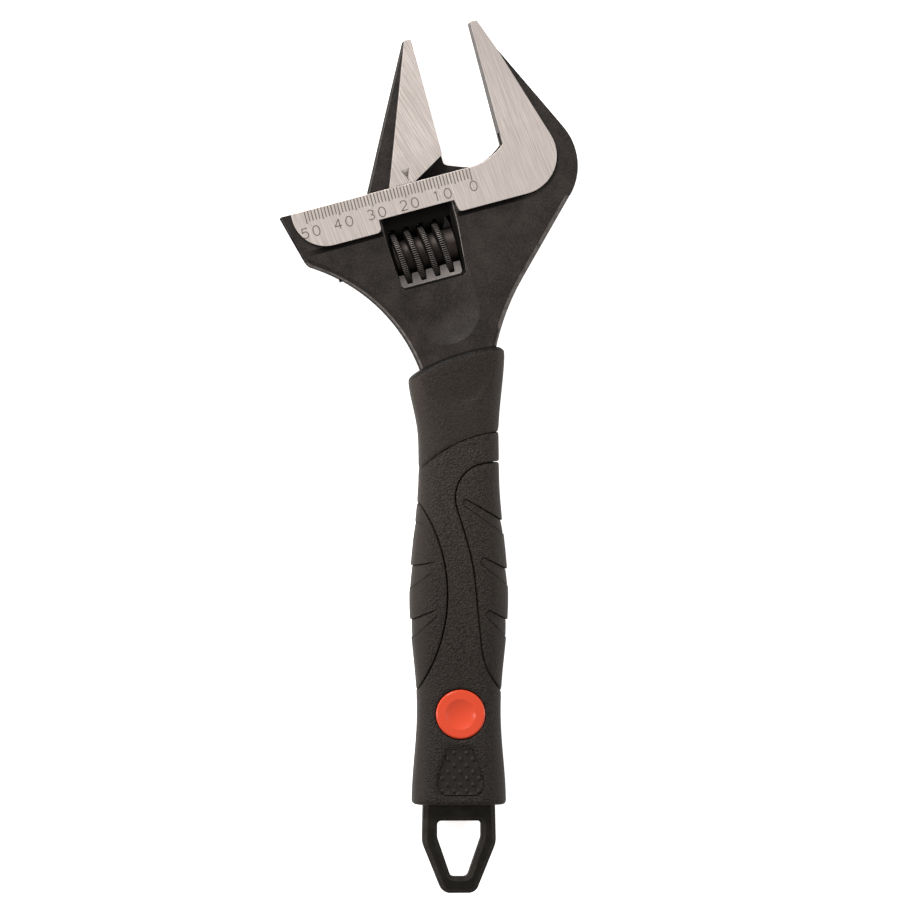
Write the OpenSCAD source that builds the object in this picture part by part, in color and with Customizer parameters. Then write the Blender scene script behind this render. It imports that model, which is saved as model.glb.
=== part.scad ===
// Adjustable wrench with a worm-driven jaw and a moulded grip, lying flat.
// +Z is through the thickness, +Y runs from the hanging loop to the head.
// Head sizes are written in the head's own axes: u along the bar, away from
// the movable jaw, and v from the bar's top edge to the jaw tips. Their origin
// is the scale's zero end on the bar. Handle sizes have x across the handle
// and y along it, level with that same origin.

/* [Head] */
// Angle of the jaws to the handle
head_angle = 15; // [0:1:22]
// Thickness over the two ground faces of the head
head_t = 14.2; // [13.6:0.1:16]
// Height of a ground face above the forged web beside it
face_step = 0.8; // [0.3:0.1:1]
// Width of the slope from the ground faces' lower edge down to the web
face_slope = 1; // [0.4:0.1:1.2]
// Height of the bar's ground face, from its top edge down
bar_face_h = 11.8; // [10:0.1:13]
// Free end of the bar, from the scale's zero end
bar_reach = 57.2; // [54:0.2:66]
// Set-back of the bar's ground face from its free end
bar_face_gap = 2.9; // [1:0.1:5]
// Radius of the bar's lower outer corner on the ground face
bar_face_r = 10; // [4:0.5:10.5]
// Height of the free end of the bar on its slanted side
bar_end_h = 15.8; // [14:0.2:17]
// Slant of the free end of the bar
bar_end_slant = 4.2; // [2:0.2:6]
// Corner radius under the free end of the bar
bar_end_r = 3; // [1:0.5:5]
// Corner behind the fixed jaw, from the scale's zero end
heel_reach = 35.1; // [34:0.1:37]
// Drop of that corner below the bar's top edge
heel_drop = 6.8; // [5.4:0.1:8]
// Radius of the corner behind the fixed jaw
heel_r = 17.5; // [12:0.5:19]
// Radius of the ground face's corner behind the fixed jaw
heel_face_r = 11.5; // [6:0.5:12]
// Set-back of the ground face there
heel_face_gap = 5.1; // [4:0.1:7]

/* [Jaws] */
// Height of the jaws above the bar
jaw_h = 41.2; // [36:0.2:50]
// Width of a jaw at its tip
tip_w = 2; // [1.2:0.1:3]
// Movable jaw's tip below the fixed jaw's tip
tip_drop = 0.4; // [0:0.1:0.8]
// Thickness taken off each side of the jaws at their tips
tip_taper = 1.6; // [0:0.1:2.2]
// Fixed jaw's gripping face, from the scale's zero end
face_from_zero = 11.2; // [10:0.1:12]
// Rise of the throat where it meets the fixed jaw
throat_rise = 4.2; // [3:0.1:5]
// Height up the fixed jaw where its web leaves the ground face
kink_h = 32; // [26:0.5:36]
// Width of the fixed jaw at that height
kink_w = 5.4; // [4.8:0.1:7]
// Gap between the jaws as the wrench is stored
opening = 18.1; // [16:0.1:20]
// Largest gap between the jaws
capacity = 50; // [44:1:50]
// Width of the movable jaw where it stands on the bar
jaw_foot_w = 23.6; // [21:0.2:26]
// Radius of the bend in the movable jaw's back
jaw_back_r = 30; // [20:1:40]
// Width of the movable jaw's ground face at the bar
jaw_face_w = 17.5; // [15:0.2:19]
// Width of the chamfer under the movable jaw
jaw_chamfer_w = 9.6; // [7:0.2:10.5]
// Height of the chamfer under the movable jaw
jaw_chamfer_h = 5.6; // [5:0.1:7]
// Thickness of the tongue that slides in the bar's slot
tongue_t = 5.6; // [4:0.1:6.2]
// Height of the tongue in front of the jaw face
toe_h = 2.9; // [2:0.1:3.4]
// Reach of the tongue in front of the jaw face
toe_w = 6.9; // [5:0.1:7.2]

/* [Rack and worm] */
// Diameter of the rack rod
rack_d = 10; // [9:0.1:10.4]
// Depth of the rod's axis below the bar's top edge
rack_drop = 9.8; // [9.4:0.1:10.4]
// Rod behind the jaw face
rack_back = 37; // [34:0.5:39]
// Length of the rod still in the worm at the largest gap
rack_hold = 5.4; // [5:0.1:8]
// Bevel at both ends of the rod
rod_bevel = 1.4; // [0.4:0.1:1.6]
// Spacing of the rack's teeth and of the worm's turns
pitch = 4.25; // [3.8:0.05:4.6]
// Depth of the rack's teeth
tooth_h = 2.8; // [2.2:0.1:3.2]
// Outer diameter of the worm
worm_d = 16; // [15:0.1:16.4]
// Height of the worm's thread
thread_h = 2.8; // [2.4:0.1:3]
// Width of the thread's crest
crest_w = 1.5; // [1.2:0.05:1.7]
// Width of the thread at its root
root_w = 2.2; // [1.9:0.05:2.4]
// Length of the worm
worm_l = 18.7; // [17.5:0.1:20]
// Plain end of the worm on the fixed jaw's side
hub_front = 2.3; // [0.5:0.1:3]
// Plain end of the worm on the other side
hub_back = 0.4; // [0.2:0.1:1.5]
// First crest of the thread, from the worm's plain end
first_land = 2.95; // [2.6:0.05:3.4]
// Diameter of the worm's axle screw
axle_d = 3.4; // [3:0.1:4]
// Diameter of the axle screw's threaded end
axle_head_d = 4.8; // [4.4:0.1:5.6]
// Length of the axle screw's threaded end
axle_head_l = 5; // [3:0.5:6]
// Length of the axle screw behind the window
axle_reach = 17; // [15:0.5:17.5]
// Axle held in the body on the closed side of the window
axle_seat = 6; // [4:0.5:9]
// Wire of the spring that takes up the worm's end play
spring_wire = 0.6; // [0.4:0.05:0.7]
// Length of the spring
spring_l = 4.5; // [3:0.1:6]
// Turns of the spring
spring_turns = 4.5; // [3:0.5:5]

/* [Window] */
// Worm window's front wall, from the scale's zero end
window_front = 9.1; // [8.5:0.1:11]
// Depth of the window's top edge below the bar's top edge
window_top = 8.1; // [7.6:0.1:8.8]
// Bevel at the top of the window's front side
bevel_front = 2.2; // [1:0.1:2.6]
// Bevel at the top of the window's back side
bevel_back = 1.6; // [0.6:0.1:2]
// Bevel at the foot of the window's sides
bevel_foot = 0.3; // [0.1:0.1:0.6]
// Bevel along the bottom of the window
bevel_bottom = 1; // [0.6:0.1:3]
// Depth of the bevels
bevel_depth = 2.6; // [1.5:0.1:3.5]
// Radius in the window's corners
window_r = 1.1; // [0.4:0.1:1.4]
// Width of the thumb scoop under the window
scoop_w = 21; // [16:0.5:22]
// Depth of the thumb scoop
scoop_depth = 1.8; // [0.8:0.1:2]
// Length of the thumb scoop below the window
scoop_l = 18.5; // [14:0.5:21]
// Slant of the thumb scoop to the handle
scoop_angle = 20; // [10:1:40]

/* [Neck and loop] */
// Width of the neck at the grip
neck_w = 20.6; // [19.4:0.2:21.6]
// Radius of the long hollow under the bar
flank_r = 50; // [40:1:52]
// Radius of the hollow under the fixed jaw
back_r = 70; // [40:1:75]
// Bevel along both sides of the neck
neck_bevel = 1.5; // [0.5:0.1:2]
// Width of the shank inside the grip
shank_w = 16; // [12:0.5:17]
// Thickness of the shank and the loop
shank_t = 7.4; // [6:0.2:8]
// Width of the loop at its shoulders
loop_w = 21.6; // [19:0.2:23]
// Length of the loop below the grip
loop_l = 26; // [24:0.2:32]
// Width of the loop at its end
loop_end_w = 9.6; // [8:0.2:12]
// Width of the loop's hole at its top
hole_w = 13; // [10:0.2:13.6]
// Width of the loop's hole at its end
hole_end_w = 5; // [4:0.2:6]
// Metal left at each end of the loop's hole
loop_wall = 4.8; // [4:0.1:6]
// Bevel round the loop and its hole
loop_bevel = 1.2; // [0.5:0.1:1.6]

/* [Grip] */
// Distance of the grip's top below the bar, on the handle's axis
grip_top = 55; // [54:0.5:58]
// Length of the grip on the handle's axis
grip_l = 131.8; // [120:0.5:160]
// Width of the grip at its top
grip_top_w = 28.2; // [27:0.2:30]
// Width of the grip at its upper waist
grip_waist_w = 23.5; // [23:0.1:26]
// Width of the grip at its belly
grip_belly_w = 28.9; // [26:0.1:32]
// Width of the grip at its lower waist
grip_low_w = 24.5; // [23:0.1:27]
// Width of the grip at its lower end
grip_end_w = 27.6; // [25:0.1:30]
// Thickness of the grip at its waists
grip_t = 16.6; // [16:0.1:18]
// Extra thickness of the grip at its belly and ends
grip_swell = 1.4; // [0:0.1:2.5]
// Rounding of the grip's two end edges
grip_edge = 1.2; // [0.4:0.1:1.6]
// Lean of the grip's top to the movable jaw's side
grip_lean = 0.7; // [0:0.1:2]
// Thickness of the soft side panels
panel_t = 2; // [1.4:0.1:2.4]
// Open seam round a soft panel
seam = 0.35; // [0.2:0.05:0.6]
// Depth of the tread notches in the panels
notch_depth = 0.6; // [0.4:0.1:1.5]
// Depth of the line round the grip's collar
line_depth = 0.6; // [0.3:0.1:0.9]

/* [Cap] */
// Diameter of the coloured cap
cap_d = 14.4; // [10:0.2:15]
// Distance of the cap's centre from the grip's lower end
cap_up = 26.6; // [22:0.2:34]
// Thickness of the cap at its rim
cap_t = 1.6; // [1.2:0.1:1.8]
// Diameter of the hollow in the cap
cap_hollow_d = 9; // [6:0.2:10]
// Depth of the hollow in the cap
cap_hollow_h = 0.9; // [0.3:0.1:1]
// Diameter of the cap's stem
cap_stem_d = 6; // [4:0.2:8]

/* [Hidden] */

// Clearances
slide_gap = 0.1;      // flat sliding faces of the jaw
rod_gap = 0.06;       // rack rod in its channel, on the radius
axle_gap = 0.06;      // worm on its screw, on the radius
seat_gap = 0.02;      // axle screw in the body, on the radius
end_gap = 0.2;        // end faces that pass or stop
mesh_gap = 0.3;       // flank of the thread to the flank of a tooth
tip_gap = 0.4;        // crest of the thread to the root of a tooth
worm_room = 0.9;      // worm to the bottom of its window
arc_fn = 96;
big = 400;

// Head
head_x = 2.75;
web_t = head_t - 2 * face_step;
jaw_u = face_from_zero - opening;
throat_r = (pow(face_from_zero, 2) + pow(throat_rise, 2)) / (2 * throat_rise);
throat_corner = (pow(face_from_zero, 2) + pow(throat_rise, 2)) / (2 * face_from_zero);
kink = [face_from_zero + kink_w, kink_h];
taper_from = throat_rise + 4;
slot_t = tongue_t + 2 * slide_gap;
toe_u = jaw_u + toe_w;
slot_front = toe_u + opening + end_gap;

// Rack and worm
rack_r = rack_d / 2;
worm_r = worm_d / 2;
root_r = worm_r - thread_h;
worm_drop = rack_drop + rack_r - tooth_h + worm_r + tip_gap;
window_back = window_front + worm_l + 2 * end_gap;
window_bottom = worm_drop + worm_r + worm_room;
worm_front = window_front + end_gap;
worm_back = worm_front + worm_l;
lead = atan(pitch / (PI * (worm_d - thread_h)));
crest_at = -(worm_front + hub_front + first_land);
rack_front = capacity - opening - window_back + rack_hold;
rod_l = rack_front - jaw_u + rack_back;
axle_back = window_back + axle_reach;
spring_d = axle_d + 1 + spring_wire;
spring_bore = spring_d + spring_wire + 0.6;
axle_front = window_front - axle_seat;

// Neck, shank and loop: the corners where the neck's hollows turn are set
// from its side and from the grip's top
back_turn = [1.5, 11];
flank_turn = [8.4, 17.2];
neck_taper = 1.8;
neck_y = grip_top + 12;
grip_end = grip_top + grip_l;
loop_end = grip_end + loop_l;

// Grip: stations along the handle, with the half width at each
grip_stations = [[0, grip_top_w], [0.19, grip_waist_w], [0.25, grip_waist_w],
                 [0.54, grip_belly_w], [0.79, grip_low_w], [1, grip_end_w]];
grip_power = 3.4;
grip_sides = 28;
grip_rings = 14;
top_slope = 0.32;
top_arch = -0.0093;

// A point of the head's axes in the handle's axes
function on_head(u, v) = [head_x + u * cos(head_angle) - v * sin(head_angle),
                          u * sin(head_angle) + v * cos(head_angle)];

// Outline through corners [x, y, radius], with each corner as an arc
function unit(v) = v / norm(v);
function turn(a, b) = atan2(a[0] * b[1] - a[1] * b[0], a * b);
function corner_arc(p, c, n, r) =
    let (a = unit([c[0] - p[0], c[1] - p[1]]), b = unit([n[0] - c[0], n[1] - c[1]]),
         bend = turn(a, b), side = sign(bend), reach = r * tan(abs(bend) / 2),
         start = [c[0], c[1]] - reach * a, mid = start + side * r * [-a[1], a[0]],
         from = start - mid, steps = max(1, ceil(abs(bend) / (r > 20 ? 3 : r > 5 ? 6 : 9))))
    r <= 0 || abs(bend) < 0.01 ? [[c[0], c[1]]]
    : [for (i = [0 : steps]) let (t = bend * i / steps)
        mid + [from[0] * cos(t) - from[1] * sin(t), from[0] * sin(t) + from[1] * cos(t)]];
function rounded(c) = [for (i = [0 : len(c) - 1])
    each corner_arc(c[(i + len(c) - 1) % len(c)], c[i], c[(i + 1) % len(c)], c[i][2])];
function with_r(p, r) = [p[0], p[1], r];
function reverse(p) = [for (i = [len(p) - 1 : -1 : 0]) p[i]];
function mirrored(c) = [for (i = [len(c) - 1 : -1 : 0]) [-c[i][0], c[i][1], c[i][2]]];

// Corners of the body, from the throat round the fixed jaw and down the handle
fixed_side = [
    with_r(on_head(throat_corner, 0), throat_r),
    with_r(on_head(face_from_zero, throat_rise), 0),
    with_r(on_head(face_from_zero, jaw_h), 0.4),
    with_r(on_head(face_from_zero + tip_w, jaw_h), 0.6),
    with_r(on_head(kink[0], kink[1]), 8),
    with_r(on_head(heel_reach, -heel_drop), heel_r)];
back_corner = [neck_w / 2 + back_turn[0], back_turn[1] - grip_top, back_r];
neck_foot = [neck_w / 2 - neck_taper, -neck_y, 0];
flank_corner = [-neck_w / 2 - flank_turn[0], flank_turn[1] - grip_top, flank_r];
bar_side = [
    with_r(on_head(bar_end_slant - bar_reach, -bar_end_h), bar_end_r),
    with_r(on_head(-bar_reach, 0), 0)];
body_outline = rounded(concat(fixed_side,
    [back_corner, neck_foot, [-neck_foot[0], neck_foot[1], 0], flank_corner], bar_side));
mid_x = (min([for (p = body_outline) p[0]]) + max([for (p = body_outline) p[0]])) / 2;
mid_y = (max([for (p = body_outline) p[1]]) - loop_end) / 2;
rest_z = (grip_t + grip_swell) / 2;

module in_place() translate([-mid_x, -mid_y, rest_z]) children();
module head() translate([head_x, 0, 0]) rotate(head_angle) children();
module across() rotate([90, 0, 90]) children();
module both_faces() for (side = [0, 1]) mirror([0, 0, side]) children();

// Bevel along an edge: a three-sided strip that follows the path, with the
// metal on the path's left
function path_normal(p, i, closed) = let (n = len(p),
    a = closed ? p[(i + n - 1) % n] : p[max(0, i - 1)],
    b = closed ? p[(i + 1) % n] : p[min(n - 1, i + 1)], d = unit(b - a)) [d[1], -d[0]];
module edge_strip(path, z, c, closed = false) {
    n = len(path);
    over = 0.4;
    function ring(i) = let (q = path_normal(path, i, closed)) [
        [path[i][0] - (c + over) * q[0], path[i][1] - (c + over) * q[1], z + over],
        [path[i][0] + over * q[0], path[i][1] + over * q[1], z + over],
        [path[i][0] + over * q[0], path[i][1] + over * q[1], z - c - over]];
    sides = [for (i = [0 : closed ? n - 1 : n - 2], k = [0 : 2])
        let (a = 3 * i + k, b = 3 * i + (k + 1) % 3,
             c2 = (3 * (i + 1)) % (3 * n) + (k + 1) % 3, d = (3 * (i + 1)) % (3 * n) + k)
        each [[a, c2, b], [a, d, c2]]];
    ends = closed ? [] : [[0, 1, 2], [3 * n - 1, 3 * n - 2, 3 * n - 3]];
    polyhedron([for (i = [0 : n - 1]) each ring(i)], concat(sides, ends));
}

// Flat forging of the head and neck, thinned towards the jaw tips
module tip_wedge(t) both_faces() head() across() linear_extrude(big, center = true)
    polygon([[taper_from, t / 2], [2 * jaw_h - taper_from, t / 2 - 2 * tip_taper],
             [2 * jaw_h - taper_from, t], [taper_from, t]]);
module head_web() difference() {
    linear_extrude(web_t, center = true) polygon(body_outline);
    tip_wedge(web_t);
}
face_foot_front = 1.35 * bevel_front - window_front;
face_corners = [
    [throat_corner, 0, throat_r], [face_from_zero, throat_rise, 0],
    [face_from_zero, jaw_h, 0.4], [face_from_zero + tip_w, jaw_h, 0.6],
    [kink[0], kink[1], 8], [heel_reach - heel_face_gap, -bar_face_h, heel_face_r],
    [face_foot_front, -bar_face_h, 1.2], [bevel_front - window_front, -window_top, 0.4],
    [-window_back - bevel_back, -window_top, 0.4], [-window_back - bevel_back, -bar_face_h, 1.5],
    [bar_face_gap - bar_reach, -bar_face_h, bar_face_r],
    [bar_face_gap - bar_reach, 0, 0]];
module ground_faces() {
    difference() {
        head() linear_extrude(head_t, center = true) polygon(rounded(face_corners));
        tip_wedge(head_t);
    }
    front = corner_arc(face_corners[4], face_corners[5], face_corners[6], heel_face_r);
    back = corner_arc(face_corners[9], face_corners[10], face_corners[11], bar_face_r);
    both_faces() head() {
        edge_skirt(concat(front, [[face_foot_front + 1.2, -bar_face_h]]), front[0][0]);
        edge_skirt(concat([[-window_back - bevel_back - 1.5, -bar_face_h]], back), back[len(back) - 1][0]);
    }
}

// Slope from the edge of a ground face down to the web: a wedge that follows
// the path, with the metal on its right, and narrows towards its outer end
module edge_skirt(path, outer_u) {
    n = len(path);
    sink = 0.3;
    reach = max([for (c = path) abs(c[0] - outer_u)]);
    function ring(i) = let (q = path_normal(path, i, false),
        w = face_slope * pow(abs(path[i][0] - outer_u) / reach, 0.5) + 0.05) [
        [path[i][0] + 0.2 * q[0], path[i][1] + 0.2 * q[1], web_t / 2 - sink],
        [path[i][0] + 0.2 * q[0], path[i][1] + 0.2 * q[1], head_t / 2 - 0.02],
        [path[i][0] - w * q[0], path[i][1] - w * q[1], web_t / 2 - sink]];
    sides = [for (i = [0 : n - 2], k = [0 : 2])
        let (a = 3 * i + k, b = 3 * i + (k + 1) % 3) each [[a, b, b + 3], [a, b + 3, a + 3]]];
    polyhedron([for (i = [0 : n - 1]) each ring(i)],
        concat(sides, [[2, 1, 0], [3 * n - 3, 3 * n - 2, 3 * n - 1]]));
}

// Shank inside the grip, with the hanging loop at its end
loop_side = [
    [shank_w / 2, -grip_end + 8, 0],
    [loop_w / 2 - 0.4, -grip_end + 6, 0],
    [loop_w / 2, -grip_end - 0.43 * loop_l, 7],
    [loop_end_w / 2, -loop_end, 3]];
hole_top = -grip_end - loop_wall;
hole_side = [
    [hole_w / 2, hole_top, 1.2],
    [hole_w / 2, -grip_end - 0.37 * loop_l, 3],
    [hole_end_w / 2, -loop_end + loop_wall, 1.6]];
module shank() {
    outline = concat([[shank_w / 2, -neck_y + 8, 0]], loop_side, mirrored(loop_side),
        [[-shank_w / 2, -neck_y + 8, 0]]);
    outer = rounded(concat([[loop_w / 2 - 0.4, -grip_end, 0]], [loop_side[2], loop_side[3]],
        mirrored([loop_side[2], loop_side[3]]), [[0.4 - loop_w / 2, -grip_end, 0]]));
    hole = rounded(concat(hole_side, mirrored(hole_side)));
    difference() {
        linear_extrude(shank_t, center = true) polygon(rounded(outline));
        linear_extrude(big, center = true) polygon(hole);
        both_faces() {
            edge_strip([for (i = [len(outer) - 1 : -1 : 0]) outer[i]], shank_t / 2, loop_bevel);
            edge_strip(hole, shank_t / 2, loop_bevel, closed = true);
        }
    }
}
module forging() {
    right = corner_arc(fixed_side[5], back_corner, neck_foot, back_r);
    left = corner_arc([-neck_foot[0], neck_foot[1]], flank_corner, bar_side[0], flank_r);
    heel = corner_arc(fixed_side[4], fixed_side[5], back_corner, heel_r);
    bar_foot = corner_arc(flank_corner, bar_side[0], bar_side[1], bar_end_r);
    heel_foot = heel[len(heel) - 1];
    difference() {
        head_web();
        both_faces() {
            edge_strip(reverse(concat([heel_foot], right, [[neck_foot[0], neck_foot[1] - 1]])),
                web_t / 2, neck_bevel);
            edge_strip(reverse(concat([[-neck_foot[0], neck_foot[1] - 1]], left, bar_foot)),
                web_t / 2, neck_bevel);
        }
    }
    shank();
}

// Channel for the rack rod, drilled right through, and the slot that the
// jaw's tongue slides in
module rack_channel() head() {
    translate([-big / 2, -rack_drop, 0]) across() cylinder(h = big, r = rack_r + rod_gap, $fn = arc_fn);
    linear_extrude(slot_t, center = true) polygon(rounded([
        [-big / 2, -rack_drop, 0], [slot_front, -rack_drop, 0],
        [slot_front, toe_h + 1.5, 2], [face_from_zero - 1, jaw_chamfer_h + 2.5, 0],
        [-big / 2, jaw_chamfer_h + 2.5, 0]]));
}

// Window for the worm, bevelled on both faces
module window() head() {
    low = window_bottom + bevel_bottom;
    inner = [[-window_front, -window_top, window_r], [-window_front, -window_bottom, window_r],
             [-window_back, -window_bottom, window_r], [-window_back, -window_top, window_r]];
    outer = [[bevel_front - window_front, -window_top, 0], [bevel_foot - window_front, -low, window_r],
             [-window_back - bevel_foot, -low, 2 * window_r], [-window_back - bevel_back, -window_top, 0]];
    linear_extrude(big, center = true) polygon(rounded(inner));
    both_faces() hull() {
        translate([0, 0, head_t / 2]) linear_extrude(0.01) polygon(rounded(outer));
        translate([0, 0, head_t / 2 - bevel_depth]) linear_extrude(0.01)
            polygon([for (c = inner) [c[0], c[1]]]);
    }
}

// Thumb scoop that runs down from the window, a round-ended hollow
module scoop() {
    foot = on_head(-(window_front + window_back) / 2, -window_bottom - bevel_bottom);
    r = (scoop_w * scoop_w / 4 + scoop_depth * scoop_depth) / (2 * scoop_depth);
    over = 8;
    both_faces() translate([foot[0], foot[1], web_t / 2 + r - scoop_depth]) rotate(scoop_angle) {
        translate([0, scoop_w / 2 - scoop_l, 0]) sphere(r, $fn = arc_fn);
        translate([0, over, 0]) rotate([90, 0, 0])
            cylinder(h = scoop_l - scoop_w / 2 + over, r = r, $fn = arc_fn);
    }
}

// Holes for the axle screw, from the bar's free side
module axle_holes() head() translate([0, -worm_drop, 0]) across() {
    translate([0, 0, -axle_back]) cylinder(h = axle_back - axle_front, r = axle_d / 2 + seat_gap, $fn = 48);
    translate([0, 0, -big / 2]) cylinder(h = big / 2 - axle_back + axle_head_l,
        r = axle_head_d / 2 + seat_gap, $fn = 48);
}

module wrench_body() color([0.2, 0.19, 0.18]) in_place() difference() {
    union() {
        forging();
        ground_faces();
    }
    rack_channel();
    window();
    scoop();
    axle_holes();
}

// Movable jaw: plate and ground faces, tongue, and rod with the rack
module jaw_plate(foot, back, t) linear_extrude(t, center = true) polygon(rounded(concat([
    [0, jaw_chamfer_h, 0], [0, jaw_h - tip_drop, 0.4], [-tip_w, jaw_h - tip_drop, 0.6]], back,
    [[-foot, slide_gap, 0], [-jaw_chamfer_w, slide_gap, 0]])));
module rack_teeth() {
    mouth = root_w + 2 * mesh_gap;
    top = crest_w + 2 * mesh_gap;
    first = ceil((rack_front - rod_l - mouth / 2 - crest_at) / pitch);
    last = floor((rack_front + mouth / 2 - crest_at) / pitch);
    for (k = [first : last]) translate([crest_at + k * pitch, -rack_drop - rack_r, 0])
        rotate([0, lead, 0]) linear_extrude(rack_d + 2, center = true)
        polygon([[-top / 2, tooth_h], [top / 2, tooth_h], [mouth / 2 + 0.1, -1], [-mouth / 2 - 0.1, -1]]);
}
module movable_jaw() color([0.2, 0.19, 0.18]) in_place() {
    difference() {
        union() {
            difference() {
                head() translate([jaw_u, 0, 0])
                    jaw_plate(jaw_foot_w, [[-0.5 * jaw_foot_w, 0.545 * jaw_h, jaw_back_r]], web_t);
                tip_wedge(web_t);
            }
            difference() {
                head() translate([jaw_u, 0, 0]) jaw_plate(jaw_face_w, [], head_t);
                tip_wedge(head_t);
            }
            head() translate([jaw_u, 0, 0]) linear_extrude(tongue_t, center = true)
                polygon(rounded([
                    [toe_w, 0.2, 0], [toe_w - 1.2, 0.5, 0.5], [1.2, 0.75 * toe_h, 0.8], [0, toe_h, 1],
                    [0, jaw_chamfer_h + 1, 0], [-0.6 * jaw_foot_w, jaw_chamfer_h + 4, 0],
                    [-jaw_foot_w, slide_gap, 0], [-jaw_foot_w, -rack_drop, 0], [toe_w, -rack_drop, 0]]));
            head() translate([rack_front - rod_l, -rack_drop, 0]) across() rotate_extrude($fn = arc_fn)
                polygon([[0, 0], [rack_r - rod_bevel, 0], [rack_r, rod_bevel], [rack_r, rod_l - rod_bevel],
                         [rack_r - rod_bevel, rod_l], [0, rod_l]]);
        }
        head() rack_teeth();
    }
}

// Worm: a plain core with a single right-hand thread, cut off square at both
// ends, and a bore for the axle screw. Stations follow the helix, so each
// ring holds the same stations, moved along by the turn.
thread_rings = 40;
thread_lo = hub_back;
thread_hi = worm_l - hub_front;
thread_sink = 0.3;
foot_r = root_r - thread_sink;
foot_w = root_w + (root_w - crest_w) * thread_sink / thread_h;
thread_steps = [[-foot_w / 2, foot_r], [-crest_w / 2, worm_r], [crest_w / 2, worm_r], [foot_w / 2, foot_r]];
first_crest = crest_at + worm_back - pitch * ceil((crest_at + worm_back - thread_lo) / pitch + 2);
stations = 4 * (ceil((thread_hi - first_crest) / pitch) + 2);
function station_z(i, j) = first_crest + pitch * (i / thread_rings + floor(j / 4)) + thread_steps[j % 4][0];
function low_station(i, j = 0) = station_z(i, j + 1) > thread_lo ? j : low_station(i, j + 1);
function high_station(i, j = 0) = station_z(i, j) >= thread_hi ? j : high_station(i, j + 1);
function thread_r(off) = let (d = abs(off)) d <= crest_w / 2 ? worm_r : d >= foot_w / 2 ? foot_r
    : worm_r + (foot_r - worm_r) * (d - crest_w / 2) / (foot_w / 2 - crest_w / 2);
function crest_offset(z, i) = let (t = (z - first_crest) / pitch - i / thread_rings) pitch * (t - round(t));
module thread() {
    lows = [for (i = [0 : thread_rings - 1]) low_station(i)];
    highs = [for (i = [0 : thread_rings - 1]) high_station(i)];
    function at(i, j) = i == thread_rings ? at(0, j + 4)
        : i * stations + min(highs[i], max(lows[i], j));
    points = [for (i = [0 : thread_rings - 1], j = [0 : stations - 1])
        let (z = min(thread_hi, max(thread_lo, station_z(i, j))), a = 360 * i / thread_rings,
             r = thread_r(crest_offset(z, i))) [r * cos(a), r * sin(a), z]];
    low_mid = len(points);
    faces = [for (i = [0 : thread_rings - 1], j = [0 : stations - 2])
        let (a = at(i, j), b = at(i + 1, j), c = at(i + 1, j + 1), d = at(i, j + 1))
        each [[a, c, b], [a, d, c]]];
    caps = [for (i = [0 : thread_rings - 1]) each [
        [low_mid, at(i, 0), at(i + 1, 0)],
        [low_mid + 1, at(i + 1, stations - 1), at(i, stations - 1)]]];
    polyhedron(concat(points, [[0, 0, thread_lo], [0, 0, thread_hi]]),
        [for (f = concat(faces, caps)) if (f[0] != f[1] && f[1] != f[2] && f[2] != f[0]) f]);
}
module worm() color([0.45, 0.43, 0.42]) in_place() head() translate([-worm_back, -worm_drop, 0]) across()
    difference() {
        union() {
            cylinder(h = worm_l, r = root_r, $fn = arc_fn);
            thread();
        }
        translate([0, 0, -1]) cylinder(h = worm_l + 2, r = axle_d / 2 + axle_gap, $fn = 48);
        translate([0, 0, -1]) cylinder(h = spring_l - end_gap + 1.05, r = spring_bore / 2, $fn = 48);
    }

// Screw that the worm turns on, with a driver slot in its threaded end
module axle_screw() color([0.5, 0.48, 0.46]) in_place() head() translate([0, -worm_drop, 0]) across()
    difference() {
        union() {
            translate([0, 0, -axle_back]) cylinder(h = axle_back - axle_front - end_gap, r = axle_d / 2, $fn = 48);
            translate([0, 0, -axle_back]) cylinder(h = axle_head_l - end_gap / 2, r = axle_head_d / 2, $fn = 48);
        }
        translate([0, 0, -axle_back]) cube([0.9, axle_head_d + 1, 2.4], center = true);
    }

// Spring in the worm's end, that takes up its play
module worm_spring() color([0.6, 0.6, 0.6]) in_place() head() translate([-window_back, -worm_drop, 0]) across() {
    wire_sides = 6;
    steps = 10;
    rings = steps * spring_turns;
    r = spring_d / 2;
    rise = spring_l - spring_wire - 0.1;
    points = [for (i = [0 : rings], k = [0 : wire_sides - 1])
        let (a = 360 * i / steps, b = 360 * k / wire_sides, q = r + spring_wire / 2 * cos(b))
        [q * cos(a), q * sin(a), 0.05 + spring_wire / 2 + rise * i / rings + spring_wire / 2 * sin(b)]];
    walls = [for (i = [0 : rings - 1], k = [0 : wire_sides - 1])
        let (a = i * wire_sides + k, b = i * wire_sides + (k + 1) % wire_sides)
        each [[a, b, b + wire_sides], [a, b + wire_sides, a + wire_sides]]];
    polyhedron(points, concat(walls, [[for (k = [wire_sides - 1 : -1 : 0]) k]],
        [[for (k = [0 : wire_sides - 1]) rings * wire_sides + k]]));
}

// Grip: rings along the handle, each a rounded oblong, with a slanted and
// arched top end and rounded end edges
function ease(t) = (1 - cos(180 * t)) / 2;
function along(list, t, i = 0) = i == len(list) - 2 || t <= list[i + 1][0]
    ? list[i][1] + (list[i + 1][1] - list[i][1]) * ease((t - list[i][0]) / (list[i + 1][0] - list[i][0]))
    : along(list, t, i + 1);
thick_stations = [[0, grip_t + grip_swell / 3], [0.21, grip_t], [0.51, grip_t + grip_swell],
                  [0.79, grip_t], [1, grip_t + grip_swell]];
function power(v, p) = sign(v) * pow(abs(v), p);
function grip_ring(t, inset) = [for (k = [0 : grip_sides - 1])
    let (a = 360 * k / grip_sides, x = (along(grip_stations, t) / 2 - inset) * power(cos(a), 2 / grip_power),
         z = (along(thick_stations, t) / 2 - inset) * power(sin(a), 2 / grip_power),
         skew = pow(max(0, 1 - t / 0.3), 2), lean = grip_lean * (1 - ease(min(1, t / 0.26))))
    [x - lean, -grip_top - grip_l * t + skew * (top_slope * x + top_arch * x * x), z]];
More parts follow.
